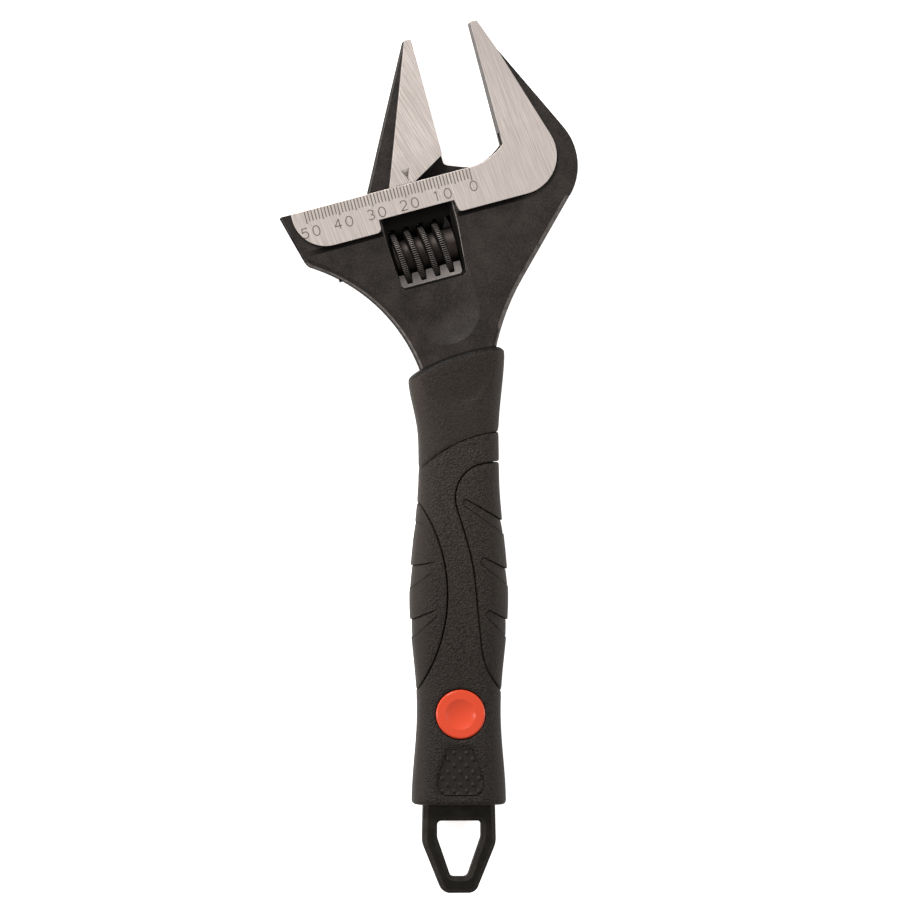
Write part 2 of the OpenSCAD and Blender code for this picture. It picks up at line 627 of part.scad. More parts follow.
module grip_form(inset) {
    edge = [[0, grip_edge], [0.3 * grip_edge / grip_l, 0.3 * grip_edge], [grip_edge / grip_l, 0]];
    rings = concat([for (e = edge) grip_ring(e[0], inset + e[1])],
        [for (i = [1 : grip_rings - 1]) grip_ring(i / grip_rings, inset)],
        [for (i = [2 : -1 : 0]) grip_ring(1 - edge[i][0], inset + edge[i][1])]);
    n = grip_sides;
    last = (len(rings) - 1) * n;
    sides = [for (i = [0 : len(rings) - 2], k = [0 : n - 1])
        let (a = i * n + k, b = i * n + (k + 1) % n) each [[a, a + n, b + n], [a, b + n, b]]];
    caps = [for (k = [0 : n / 2 - 1]) let (b = (n - k) % n, c = n - k - 1)
        each [[k, k + 1, c], [k, c, b], [last + k, last + c, last + k + 1], [last + k, last + b, last + c]]];
    polyhedron([for (ring = rings) each ring],
        [for (f = concat(sides, caps)) if (f[0] != f[1] && f[1] != f[2] && f[2] != f[0]) f]);
}

// Outlines of the soft panels, as seen on either broad face: corners as shares
// of the waist's width and of the grip's length, with a radius as a share
function on_grip(x, t, r = 0) = [x * grip_waist_w, -grip_top - grip_l * t, r * grip_waist_w];
wide = 0.85;
line_share = 0.0015;
panel_right = [on_grip(wide, 0.2303), on_grip(-0.196, 0.2527, 0.4255), on_grip(0.166, 0.458, 2.55),
               on_grip(0.298, 0.695, 0.85), on_grip(wide, 0.818)];
panel_left = [on_grip(-wide, 0.2263), on_grip(0.126, 0.528, 2.04), on_grip(-wide, 0.8486)];
collar_side = [[-wide, 0.3144, 0], [-0.06, 0.1776, 1.57], [wide, 0.1663, 0]];
collar_line = concat([for (c = collar_side) on_grip(c[0], c[1] + line_share, c[2])],
    [for (c = reverse(collar_side)) on_grip(c[0], c[1] - line_share, c[2])]);
notches = [
    [[0.06, 0.318], [wide, 0.396], [wide, 0.44], [0.51, 0.402], [0.009, 0.333]],
    [[0.277, 0.447], [wide, 0.498], [wide, 0.535], [0.51, 0.51], [0.23, 0.462]],
    [[0.349, 0.565], [wide, 0.605], [wide, 0.65], [0.51, 0.63], [0.298, 0.58]],
    [[-0.443, 0.379], [-wide, 0.343], [-wide, 0.454], [-0.451, 0.385]],
    [[-0.323, 0.459], [-wide, 0.478], [-wide, 0.535], [-0.447, 0.498], [-0.277, 0.473]],
    [[-0.251, 0.56], [-wide, 0.605], [-wide, 0.65], [-0.426, 0.595], [-0.255, 0.572]]];
module panel_zone(corners, gap) linear_extrude(big, center = true) offset(delta = gap) polygon(rounded(corners));
module grip_panel(corners) difference() {
    intersection() {
        grip_form(0);
        panel_zone(corners, 0);
    }
    grip_form(panel_t);
    difference() {
        linear_extrude(big, center = true) for (n = notches)
            polygon([for (p = n) let (q = on_grip(p[0], p[1])) [q[0], q[1]]]);
        grip_form(notch_depth);
    }
}
module grip_panel_right() color([0.25, 0.24, 0.23]) in_place() grip_panel(panel_right);
module grip_panel_left() color([0.25, 0.24, 0.23]) in_place() grip_panel(panel_left);

// Hard core of the grip, moulded round the shank, with beds for the panels
cap_t_at = (grip_l - cap_up) / grip_l;
cap_top = along(thick_stations, cap_t_at) / 2 + 0.1;
module grip_core() color([0.16, 0.15, 0.15]) in_place() difference() {
    grip_form(0);
    difference() {
        union() {
            panel_zone(panel_right, seam);
            panel_zone(panel_left, seam);
        }
        grip_form(panel_t);
    }
    difference() {
        panel_zone(collar_line, 0);
        grip_form(line_depth);
    }
    forging();
    translate([0, cap_up - grip_end, cap_top - cap_t]) cylinder(h = 9, r = cap_d / 2 + 0.2, $fn = arc_fn);
    translate([0, cap_up - grip_end, cap_top - cap_t - 2.4]) cylinder(h = 9, r = cap_stem_d / 2 + 0.05, $fn = 48);
}

// Coloured cap, with a hollow in its face and a stem in the core
module accent_cap() color([0.86, 0.25, 0.16]) in_place() translate([0, cap_up - grip_end, cap_top]) {
    r = (cap_hollow_d * cap_hollow_d / 4 + cap_hollow_h * cap_hollow_h) / (2 * cap_hollow_h);
    difference() {
        rotate_extrude($fn = arc_fn) polygon([[0, -cap_t - 2.3], [cap_stem_d / 2, -cap_t - 2.3],
            [cap_stem_d / 2, -cap_t], [cap_d / 2, -cap_t], [cap_d / 2, -0.4], [cap_d / 2 - 0.4, 0], [0, 0]]);
        translate([0, 0, r - cap_hollow_h]) sphere(r, $fn = arc_fn);
    }
}

wrench_body();
movable_jaw();
worm();
axle_screw();
worm_spring();
grip_core();
grip_panel_left();
grip_panel_right();
accent_cap();
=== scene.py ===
"""Looks of the adjustable wrench: camera, light, materials, the moulded grip,
the knurled worm and the engraved scale.

Lengths are in millimetres, in the head's or the handle's own axes, until they
meet Blender. Positions follow the boxes of the solids."""
import math

import bmesh
import bpy
import numpy as np
from mathutils import Matrix, Vector
from mathutils.geometry import delaunay_2d_cdt
from mathutils.kdtree import KDTree


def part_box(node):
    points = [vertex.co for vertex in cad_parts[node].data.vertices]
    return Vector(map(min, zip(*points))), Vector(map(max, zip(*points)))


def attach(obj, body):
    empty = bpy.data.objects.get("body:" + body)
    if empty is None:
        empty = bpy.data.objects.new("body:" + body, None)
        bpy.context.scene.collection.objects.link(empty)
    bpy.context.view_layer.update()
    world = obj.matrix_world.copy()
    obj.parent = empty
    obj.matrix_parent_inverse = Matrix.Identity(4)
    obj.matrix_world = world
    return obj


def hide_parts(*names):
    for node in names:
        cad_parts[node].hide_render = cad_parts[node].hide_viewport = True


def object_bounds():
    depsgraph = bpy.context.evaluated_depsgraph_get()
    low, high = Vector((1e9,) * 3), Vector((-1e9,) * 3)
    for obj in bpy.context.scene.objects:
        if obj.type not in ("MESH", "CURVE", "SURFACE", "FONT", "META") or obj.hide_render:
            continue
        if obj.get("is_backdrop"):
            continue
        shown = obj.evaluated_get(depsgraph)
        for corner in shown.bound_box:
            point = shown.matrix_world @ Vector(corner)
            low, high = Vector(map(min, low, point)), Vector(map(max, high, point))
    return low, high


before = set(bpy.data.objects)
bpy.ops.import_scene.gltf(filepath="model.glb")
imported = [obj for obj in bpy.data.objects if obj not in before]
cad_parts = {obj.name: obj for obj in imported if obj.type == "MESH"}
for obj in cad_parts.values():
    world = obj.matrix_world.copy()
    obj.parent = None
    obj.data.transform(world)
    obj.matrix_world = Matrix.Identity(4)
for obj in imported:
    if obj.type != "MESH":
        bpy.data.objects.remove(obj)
cad_box = [list(corner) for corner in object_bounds()]
MM = 0.001

# ---------------------------------------------------------------- axes
HEAD_X = 2.75                       # the head's origin, beside the handle's axis
HEAD_ANGLE = math.radians(15)
COS, SIN = math.cos(HEAD_ANGLE), math.sin(HEAD_ANGLE)
CAP_DOWN = 160.2                    # the cap's centre, below the handle's origin
cap_lo, cap_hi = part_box("accent_cap")
body_lo, body_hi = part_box("wrench_body")
ORIGIN = np.array([(cap_lo.x + cap_hi.x) / 2, (cap_lo.y + cap_hi.y) / 2 + CAP_DOWN * MM,
                   (body_lo.z + body_hi.z) / 2])

# ---------------------------------------------------------------- the solids' sizes
PAD_Z = (body_hi.z - body_lo.z) / 2 / MM    # the ground faces, from the middle plane
WEB_Z = PAD_Z - 0.8                 # the black faces round them
BAR_FACE_H = 11.8                   # height of the bar's ground face
FLANK_V, FLANK_FALL = 8.2, 1.6 / 33     # where the jaws begin to thin, and how fast
GRIP_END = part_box("grip_core")[0].y     # its lower end, in metres in the row frame
TOP, LENGTH, POWER = 55.0, 131.8, 3.4   # the grip's top, length and squareness
SLOPE, ARCH, LEAN = 0.32, -0.0093, 0.7  # the slanted and arched top of its collar
EDGE, CORNER, CUT, CUT_SLOPE = 1.2, 1.8, 1.4, 0.8
PITCH, WORM_L, WORM_BACK, WORM_DROP = 4.25, 18.7, 28.0, 20.4
CREST_R, ROOT_R, BORE_R = 8.0, 5.2, 1.76
SEAM = 0.34
CAP_R = 7.2


def from_handle(points):
    """Handle axes in millimetres to the row frame in metres."""
    return np.asarray(points, float) * MM + ORIGIN


def from_head(points):
    """Head axes (u along the bar, v towards the jaw tips) to the row frame."""
    p = np.asarray(points, float)
    return from_handle(np.stack([HEAD_X + p[:, 0] * COS - p[:, 1] * SIN,
                                 p[:, 0] * SIN + p[:, 1] * COS, p[:, 2]], 1))


def add_mesh(name, points, faces, material, body, smooth=None, tidy=True):
    """A new piece from points in the row frame; smooth is the sharpest smoothed angle."""
    mesh = bpy.data.meshes.new(name)
    mesh.from_pydata([tuple(p) for p in points], [], [tuple(int(i) for i in f) for f in faces])
    if tidy:
        bm = bmesh.new()
        bm.from_mesh(mesh)
        bmesh.ops.remove_doubles(bm, verts=bm.verts, dist=2e-7)
        bmesh.ops.dissolve_degenerate(bm, dist=1e-7, edges=bm.edges)
        bmesh.ops.recalc_face_normals(bm, faces=bm.faces)
        bm.to_mesh(mesh)
        bm.free()
    if smooth:
        mesh.shade_smooth()
        mesh.set_sharp_from_angle(angle=math.radians(smooth))
    piece = bpy.data.objects.new(name, mesh)
    bpy.context.scene.collection.objects.link(piece)
    piece.data.materials.append(material)
    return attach(piece, body)


# ---------------------------------------------------------------- camera
ROLL = math.radians(4)              # the wrench's turn about its long axis
LENS, SENSOR = 300.0, 36
PX_PER_MM = 3.405
PICTURE = 900                       # pixels along the square picture's side
ORIGIN_PX = 458.7, 167.95           # where the handle's origin falls in it
centre = from_handle([[(PICTURE / 2 - ORIGIN_PX[0]) / PX_PER_MM / math.cos(ROLL),
                       (ORIGIN_PX[1] - PICTURE / 2) / PX_PER_MM, 0]])[0]
camera = bpy.data.objects.new("camera", bpy.data.cameras.new("camera"))
bpy.context.scene.collection.objects.link(camera)
camera.data.lens = LENS
camera.data.sensor_width = SENSOR
away = LENS / SENSOR * PICTURE / PX_PER_MM * MM
to_right = Vector((math.cos(ROLL), 0, math.sin(ROLL)))
to_viewer = Vector((-math.sin(ROLL), 0, math.cos(ROLL)))
camera.matrix_world = Matrix.Translation(Vector(centre) + to_viewer * away) @ Matrix(
    (to_right, (0, 1, 0), to_viewer)).transposed().to_4x4()
camera.data.clip_start = 0.1
camera.data.clip_end = 20
bpy.context.scene.camera = camera
bpy.context.scene.view_settings.view_transform = "Standard"


# ---------------------------------------------------------------- node graphs
class Value:
    """A node's output that stands in sums. Of two masks, a * b is both and a | b either."""

    def __init__(self, graph, output):
        self.graph, self.output = graph, output

    def __add__(self, other):
        return self.graph.maths("ADD", self, other)

    def __sub__(self, other):
        return self.graph.maths("SUBTRACT", self, other)

    def __rsub__(self, other):
        return self.graph.maths("SUBTRACT", other, self)

    def __mul__(self, other):
        return self.graph.maths("MULTIPLY", self, other)

    def __truediv__(self, other):
        return self.graph.maths("DIVIDE", self, other)

    def __or__(self, other):
        return self.graph.maths("MAXIMUM", self, other)

    def __abs__(self):
        return self.graph.maths("ABSOLUTE", self)

    def above(self, length):
        """A mask: 1 where this is more than a length in millimetres."""
        return self.graph.maths("GREATER_THAN", self, length * MM)

    def below(self, length):
        """A mask: 1 where this is less than a length in millimetres."""
        return self.graph.maths("LESS_THAN", self, length * MM)

    def ramp(self, low, high, start, end):
        """start up to low, end from high on, and a straight change between them."""
        return self.graph.make("MapRange", {"Value": self, "From Min": low, "From Max": high,
                                            "To Min": start, "To Max": end}, clamp=True)

    def fade(self, low, high, start, end):
        """The same with low and high in millimetres."""
        return self.ramp(low * MM, high * MM, start, end)


class Graph:
    """A node tree with short names for the nodes that the materials share."""

    def __init__(self, owner):
        owner.use_nodes = True
        self.nodes, self.links = owner.node_tree.nodes, owner.node_tree.links

    def put(self, socket, value):
        """Links a value to an input, or writes a number, vector or colour there."""
        if isinstance(value, Value):
            self.links.new(value.output, socket)
        else:
            socket.default_value = (*value, 1) if socket.type == "RGBA" else value

    def make(self, kind, inputs=(), out=0, **settings):
        """A node with its settings and inputs; returns one of its outputs."""
        made = self.nodes.new("ShaderNode" + kind)
        for key, setting in settings.items():
            setattr(made, key, setting)
        for key, value in dict(inputs).items():
            self.put(made.inputs[key], value)
        return Value(self, made.outputs[out])

    def maths(self, operation, *terms, clamp=False):
        """A Math node on values and numbers."""
        return self.make("Math", dict(enumerate(terms)), operation=operation, use_clamp=clamp)

    def vector(self, operation, *terms, out=0):
        """A Vector Math node on values and vectors."""
        return self.make("VectorMath", dict(enumerate(terms)), out, operation=operation)

    def split(self, vector):
        """The three parts of a vector."""
        made = self.make("SeparateXYZ", {0: vector}).output.node
        return [Value(self, output) for output in made.outputs]

    def in_head(self, place, v=0):
        """A place in the row frame to head axes, from a point of the head's v axis."""
        return self.make("Mapping", {"Vector": place, "Location": from_head([[0, v, 0]])[0],
                                     "Rotation": (0, 0, HEAD_ANGLE)}, vector_type="TEXTURE")

    def noise(self, where, scale, detail, rough, stretch=None, turn=0):
        """Noise, where asked with other scales along three axes and a turn in degrees."""
        if stretch:
            where = self.make("Mapping", {
                "Vector": where, "Rotation": (0, 0, math.radians(turn)),
                "Scale": [1 / k for k in stretch]}, vector_type="TEXTURE")
        return self.make("TexNoise", {"Vector": where, "Scale": scale, "Detail": detail,
                                      "Roughness": rough})

    def mix(self, factor, a, b):
        """Colour a at 0 to colour b at 1."""
        return self.make("Mix", {0: factor, 6: a, 7: b}, 2, data_type="RGBA")

    def blend(self, factor, a, b):
        """Number a at 0 to number b at 1."""
        return self.make("Mix", {0: factor, 2: a, 3: b}, data_type="FLOAT")

    def bump(self, height, strength, distance, **normal):
        """Relief from a height; distance is in millimetres."""
        return self.make("Bump", {"Strength": strength, "Distance": distance * MM,
                                  "Height": height, **normal})

    def soft_edges(self, radius):
        """The normal with edges rounded off to a radius in millimetres."""
        return self.make("Bevel", {"Radius": radius * MM}, samples=6)

    def openness(self, distance, samples=8):
        """1 in the open, less in corners and gaps up to a distance in millimetres."""
        return self.make("AmbientOcclusion", {"Distance": distance * MM}, "AO", samples=samples)

    def surface(self, **inputs):
        """The inputs of the Principled shader; a plain number goes on its own socket."""
        for key, value in inputs.items():
            self.put(self.nodes["Principled BSDF"].inputs[key.replace("_", " ")], value)


def new_material(name):
    """A material, its graph, and the place on the surface in the row frame."""
    material = bpy.data.materials.new(name)
    graph = Graph(material)
    return material, graph, graph.make("TexCoord", out="Object")


# ---------------------------------------------------------------- steel
# Linear colours, each pair from dark to light
BLACKENED = (0.0105, 0.0075, 0.006), (0.0435, 0.034, 0.029)
LOOP = (0.0115, 0.0098, 0.0072), (0.031, 0.0267, 0.0202)
LOOP_TIP_SHADE = (0.008, 0.007, 0.0058)
POCKET_SHADE = (0.009, 0.008, 0.0072), (0.02, 0.0178, 0.0162)
POCKET_EDGE_HIGHLIGHT = (0.08, 0.072, 0.066)
WEAR_AND_HIGHLIGHT, HIGHLIGHT_LINE = (0.2, 0.174, 0.158), (0.5, 0.45, 0.41)
WALL_SHADE = (0.005, 0.0042, 0.0036)
STEP_SHADE = (0.0105, 0.009, 0.008)
GRIP_EDGE_SHADOW = (0.002, 0.0015, 0.0012)
BRUSHED = (0.6, 0.52, 0.472), (0.97, 0.865, 0.805)
BRUSHED_TIP_SHADE = (0.3, 0.26, 0.24)
INNER_FACE_SHADE = (0.06, 0.05, 0.044), (0.13, 0.11, 0.098)
THREAD_ROOT = (0.025, 0.0185, 0.016), (0.066, 0.051, 0.045)
FLANK_SHADE = (0.012, 0.01, 0.009), (0.03, 0.026, 0.024)
THREAD_CREST = (0.15, 0.132, 0.12), (0.3, 0.266, 0.242)
ROOT_SHADE, CREST_SHADE = (0.004, 0.0035, 0.003), (0.01, 0.0085, 0.0075)
SCREW = (0.02, 0.018, 0.017), (0.05, 0.045, 0.042)


# Where the painted shade of the step and of its foot, a band below the bar's face, lies
STEP_TOP = 7.5                      # the step is dark below this v
FOOT_DROP = 1.55, 1.25              # the foot's soft lower edge, below the bar's face
FOOT_LEFT, FOOT_RIGHT = (-54, -48), (10, 17)    # the u over which the foot fades out
WINDOW_SIDES = -29.5, -6.9          # the u of the window's two sides


def step_mask(u, v, depth, level):
    """Painted shade on the step round the ground faces, and on its foot, a band below the bar's
    face beside the window.
    """
    step = level.above(WEB_Z + 0.04) * v.below(STEP_TOP)
    low, high = (-BAR_FACE_H - drop for drop in FOOT_DROP)
    foot = v.fade(low, high, 0, 1) * v.below(0.1 - BAR_FACE_H)
    left = u.fade(*FOOT_LEFT, 0, 1) * u.below(WINDOW_SIDES[0])
    right = u.fade(*FOOT_RIGHT, 1, 0) * u.above(WINDOW_SIDES[1])
    foot = foot * (left + right) * depth.above(WEB_Z - 0.3)
    return step | foot * 0.93


def past_collar(x, y):
    """How far a place in the row frame is above the grip's slanted and arched top."""
    over_x = x + float(LEAN * MM - ORIGIN[0])
    arch = over_x * over_x.graph.maths("MULTIPLY_ADD", over_x, ARCH / MM, SLOPE)
    return y - arch - float(ORIGIN[1] - TOP * MM)


def steel_skin(name, face_u, grain_angle, pocket, broad_share, spread, tip_shade=0.0):
    """Black coated forging with brushed ground faces and a brushed gripping face.

    face_u is the gripping face's u. pocket is the part round the worm painted darker as
    shade: its lowest and highest v, the height it stays below, and its middle and half width in
    u."""
    material, graph, place = new_material(name)
    x, y, _ = graph.split(place)
    u, v, z = graph.split(graph.in_head(place))
    v_low, v_high, height, middle_u, half_u = pocket
    true_normal = graph.make("NewGeometry", out="True Normal")
    tilt = abs(graph.split(true_normal)[2])
    rounded_off = graph.soft_edges(0.28)
    turned = graph.vector("DOT_PRODUCT", true_normal, rounded_off, out="Value")
    edge = turned.ramp(0.86, 0.985, 1, 0)

    # Where the bright faces, the step, the loop and the pocket round the worm are; the step and
    # the pocket get painted shade
    depth = abs(z)
    level = depth + ((v - FLANK_V * MM) | 0.0) * FLANK_FALL
    ground = level.above(PAD_Z - 0.12)
    side = 1 if face_u < 0 else -1
    facing = graph.vector("DOT_PRODUCT", true_normal, (side * COS, side * SIN, 0), out="Value")
    near = abs(u - face_u * MM).below(0.15)
    bright = ground | near * graph.maths("GREATER_THAN", facing, 0.8)
    step = step_mask(u, v, depth, level)
    loop = y.ramp(GRIP_END - 0.5 * MM, GRIP_END + 0.5 * MM, 1, 0)
    beside = abs(u - middle_u * MM)
    sunk = v.above(v_low) * v.below(v_high) * beside.below(half_u) * depth.below(height)
    dull = sunk | step

    # Wear and painted highlight on chamfers and edges: over the whole width on the front flank,
    # at the outer edge on the back one; and a painted highlight line along the window's side
    # towards the fixed jaw
    chamfer = tilt.ramp(0.55, 0.6, 0, 1) * tilt.ramp(0.8, 0.85, 1, 0)
    edge_depth = depth - u.above(-4) * (0.75 * MM)
    outer = edge_depth.fade(WEB_Z - 1.1, WEB_Z - 0.85, 1, 0) * v.fade(-14.6, -13.4, 1, 0)
    ragged = graph.noise(place, 650, 3, 0.65).ramp(0.36, 0.58, 0.45, 1)
    by_window = beside.below(half_u + 1.3) * v.above(v_low - 0.95)
    front_line = by_window * u.above(middle_u + half_u - 1.2)
    wear_and_highlight = (chamfer | edge) * outer * ragged
    wear_and_highlight = wear_and_highlight | edge * by_window
    wear_and_highlight = wear_and_highlight | front_line * turned.ramp(0.93, 0.995, 1, 0)
    wear_and_highlight = wear_and_highlight * ((1.0 - sunk) * (1.0 - step)) * (1.0 - loop * 0.87)
    # Painted shade: steep walls are darkened, and made rougher
    wall_shade = tilt.ramp(0.35, 0.5, 0.65, 0) * (1.0 - (wear_and_highlight | loop))

    speck = graph.noise(place, 1900, 3, 0.65)
    cloud = graph.noise(place, 160, 3, 0.6)
    black = graph.mix((speck * 0.6 + cloud * 0.4).ramp(0.4, 0.63, 0, 1), *BLACKENED)
    black = graph.mix(loop, black, graph.mix(cloud.ramp(0.3, 0.7, 0, 1), *LOOP))
    # Painted shade: darker towards the loop's tip
    black = graph.mix(y.ramp(GRIP_END - 24 * MM, GRIP_END - 6 * MM, 0.5, 0), black, LOOP_TIP_SHADE)
    # Wear and painted highlight on the edges, and the painted highlight line by the window
    black = graph.mix(wear_and_highlight, black, graph.mix(front_line, WEAR_AND_HIGHLIGHT, HIGHLIGHT_LINE))
    black = graph.mix(wall_shade, black, WALL_SHADE)
    # Painted shade: the pocket round the worm is darker, with painted highlights on its rounded
    # edges
    pocket_shade = graph.mix(edge * 0.5, graph.mix(speck, *POCKET_SHADE), POCKET_EDGE_HIGHLIGHT)
    black = graph.mix(sunk, black, pocket_shade)
    # Painted shade on the step and its foot
    black = graph.mix(step, black, STEP_SHADE)
    # Painted shadow on the steel along the grip's top edge and under it
    collar_shadow = (1.0 - loop) * past_collar(x, y).fade(0.2, 0.55, 0.9, 0)
    black = graph.mix(collar_shadow, black, GRIP_EDGE_SHADOW)

    grain = graph.noise(place, 800, 3, 0.7, (4.0, 0.1, 1.0), grain_angle)
    broad = graph.noise(place, 120, 2, 0.5, (3.0, 0.3, 1.0), grain_angle)
    streak = grain * (1 - broad_share) + broad * broad_share
    metal = graph.mix(streak.ramp(0.5 - spread, 0.5 + spread, 0, 1), *BRUSHED)
    # Painted shade: the brushed faces darken towards the jaw tips
    metal = graph.mix(v.fade(4, 38, 0, tip_shade), metal, BRUSHED_TIP_SHADE)
    # Painted shade: the gripping face is darker than the ground faces
    metal = graph.mix(ground, graph.mix(streak, *INNER_FACE_SHADE), metal)

    # The painted-shade places, the pocket and the step, reflect as little as their colour says,
    # so they count as metal
    metallic = bright * 0.6 | ((dull | loop * 0.75) - bright) * 0.8
    rougher = (dull | wall_shade) * 0.4 | chamfer * 0.25
    rough_black = graph.maths("ADD", speck.ramp(0.3, 0.7, 0.48, 0.6), rougher, clamp=True)
    graph.surface(
        Base_Color=graph.mix(bright, black, metal), Metallic=metallic, Specular_IOR_Level=0.3,
        Roughness=graph.blend(bright, rough_black, streak.ramp(0.3, 0.7, 0.5, 0.36)),
        Normal=graph.bump(graph.blend(bright, speck, grain), 0.6, 0.12,
                          Normal=rounded_off))
    return material


def worn_steel(name, dark, light, rough):
    """Plain dark steel of the screw and the spring."""
    material, graph, place = new_material(name)
    cloud = graph.noise(place, 900, 3, 0.6)
    graph.surface(
        Base_Color=graph.mix(cloud.ramp(0.35, 0.65, 0, 1), dark, light), Metallic=1.0,
        Roughness=cloud.ramp(0.3, 0.7, rough - 0.08, rough + 0.1),
        Normal=graph.bump(cloud, 0.25, 0.04, Normal=graph.soft_edges(0.12)))
    return material


def threaded_steel(name):
    """The worm's steel: bright root and crests, flanks and knurling notches painted dark as
    shade, and more painted shade where the worm is closed in.
    """
    material, graph, place = new_material(name)
    across = graph.vector("MULTIPLY", graph.in_head(place, -WORM_DROP), (0, 1, 1))
    radius = graph.vector("LENGTH", across, out="Value")
    cloud = graph.noise(place, 260, 3, 0.6)
    openness = graph.openness(6)
    root = graph.mix(cloud.ramp(0.35, 0.65, 0, 1), *THREAD_ROOT)
    # Painted shade where the worm is closed in, from ambient occlusion
    root = graph.mix(openness.ramp(0.2, 0.55, 0.8, 0), root, ROOT_SHADE)
    crest = graph.mix(cloud, *THREAD_CREST)
    crest = graph.mix(openness.ramp(0.58, 1.0, 0.93, 0), crest, CREST_SHADE)
    # Painted shade: the flanks and the knurling's notch floors are dark
    shade = graph.mix(radius.fade(ROOT_R + 0.1, ROOT_R + 0.7, 0, 1), root,
                      graph.mix(cloud, *FLANK_SHADE))
    shade = graph.mix(radius.fade(CREST_R - 0.18, CREST_R - 0.06, 0, 1), shade, crest)
    graph.surface(Base_Color=shade, Metallic=0.7, Roughness=cloud.ramp(0.3, 0.7, 0.46, 0.6),
                  Normal=graph.soft_edges(0.1))
    return material


# ---------------------------------------------------------------- plastic and ink
CORE_SKIN = (0.013, 0.0098, 0.0074), (0.0475, 0.0358, 0.0278)
PANEL_SKIN = (0.012, 0.009, 0.0068), (0.043, 0.0325, 0.0252)
SKIN_SHADE = (0.0025, 0.0018, 0.0014)
CAP_RED = (0.8, 0.077, 0.028)
MARK_INK = (0.14, 0.112, 0.095)

# Where the grip's skin changes, in handle axes
PATCH_TOP, PATCH_LOW = -170, -184
PATCH_HALF, PATCH_TAPER = 3.5, 0.31     # the patch's half width at its top, and its growth
COLLAR_Y, COLLAR_SLOPE, COLLAR_ARCH = -80.1, 0.475, -0.0215
THUMB_BACK, THUMB_HALF = (1, 56), (12, 15.3)    # from the hollow to the origin; half sizes
# Painted light: the grip's sides are made lighter than its face
LIT_SIDE = 1.15                    # the grip's sides are lighter than its face


def calm_mask(graph, x, y, beside):
    """How much smoother the dotted patch, the collar and the grip's sides are."""
    patch_half = graph.maths("MULTIPLY_ADD", y, -PATCH_TAPER,
                             (PATCH_HALF + PATCH_TAPER * PATCH_TOP) * MM)
    in_patch = graph.maths("LESS_THAN", beside, patch_half) * (
        y.below(PATCH_TOP) * y.above(PATCH_LOW))
    collar_slope = graph.maths("MULTIPLY_ADD", x, COLLAR_ARCH / MM, COLLAR_SLOPE)
    collar_y = graph.maths("MULTIPLY_ADD", x, collar_slope, COLLAR_Y * MM)
    over_collar = (y - collar_y).fade(-0.2, 0.2, 0, 1)
    return in_patch * 0.75 | over_collar * 0.5 | beside.fade(7, 12, 0, 0.55)


def dirt_mask(graph, x, y):
    """How much painted shade darkens the joints, from ambient occlusion, the thumb hollow, the
    top rim and the lower end.
    """
    hollow_x, hollow_y = ((part + back * MM) / (half * MM)
                          for part, back, half in zip((x, y), THUMB_BACK, THUMB_HALF))
    in_hollow = (hollow_x * hollow_x + hollow_y * hollow_y).ramp(0.93, 1.03, 1, 0)
    over_x = x + LEAN * MM
    top_slope = graph.maths("MULTIPLY_ADD", over_x, ARCH / MM, SLOPE)
    top_y = graph.maths("MULTIPLY_ADD", over_x, top_slope, -TOP * MM)
    joints = graph.openness(0.7).ramp(0.25, 0.75, 0.85, 0)
    return (joints | in_hollow * 0.2 | (y - top_y).fade(-1.5, -0.8, 0, 0.8)
            | y.fade(-175, -95, 0.42, 0))


def moulded(name, dark, light, pebble, rough):
    """Moulded plastic or rubber with a pebbled skin."""
    material, graph, place = new_material(name)
    row_x, row_y, _ = graph.split(place)
    x, y = row_x - float(ORIGIN[0]), row_y - float(ORIGIN[1])
    beside = abs(x)
    calm = calm_mask(graph, x, y, beside)
    warped = graph.vector("MULTIPLY_ADD", graph.noise(place, pebble * 0.7, 2, 0.5),
                          [0.6 * MM] * 3, place)
    cells = graph.make("TexVoronoi", {"Vector": warped, "Scale": pebble, "Smoothness": 0.7},
                       "Distance", feature="SMOOTH_F1")
    fine = graph.noise(place, pebble * 0.95, 2, 0.6)
    cloud = graph.noise(place, 70, 2, 0.5)
    grain = fine.ramp(0.4, 0.6, 0, 1) * 0.9 + cloud * 0.1
    grain = graph.maths("MULTIPLY_ADD", grain - 0.5, 1.0 - calm, 0.5)
    # Painted light on the grip's sides
    colour = graph.mix(beside.fade(9.5, 13, 0, 0.55), graph.mix(grain, dark, light),
                       [LIT_SIDE * c for c in light])
    skin = (cells * 0.75 + fine * 0.35) * (1.0 - calm)
    # The joints, thumb hollow, top rim and lower end are darkened as painted shade
    graph.surface(
        Base_Color=graph.mix(dirt_mask(graph, x, y), colour, SKIN_SHADE),
        Roughness=fine.ramp(0.3, 0.7, rough - 0.05, rough + 0.07),
        Normal=graph.bump(skin, 0.8, 0.55), Specular_IOR_Level=0.24)
    return material


def plain(name, colour, rough, wave, scale):
    """One colour with a slight wave in its lightness."""
    material, graph, place = new_material(name)
    cloud = graph.noise(place, scale, 2, 0.5)
    low = [c * (1 - wave) for c in colour]
    high = [min(1, c * (1 + wave)) for c in colour]
    graph.surface(Base_Color=graph.mix(cloud, low, high), Normal=graph.soft_edges(0.3),
                  Roughness=cloud.ramp(0.3, 0.7, rough - 0.04, rough + 0.04))
    return material


body_steel = steel_skin("black_steel_body", 11.2, 21, (-30.0, -7.9, 5.8, -18.6, 11.4),
                        0.08, 0.19, 0.28)
jaw_steel = steel_skin("black_steel_jaw", -6.9, 31, (-16.0, -3.0, 9.0, 0.0, 80.0), 0.24, 0.11)
worm_steel = threaded_steel("worm_steel_dark")
screw_steel = worn_steel("screw_steel_black", *SCREW, 0.45)
core_skin = moulded("grip_core_skin", *CORE_SKIN, 2000, 0.52)
panel_skin = moulded("grip_panel_skin", *PANEL_SKIN, 2100, 0.51)
cap_skin = plain("cap_red_skin", CAP_RED, 0.24, 0.03, 60)
mark_ink = plain("engraved_mark", MARK_INK, 0.6, 0.2, 500)

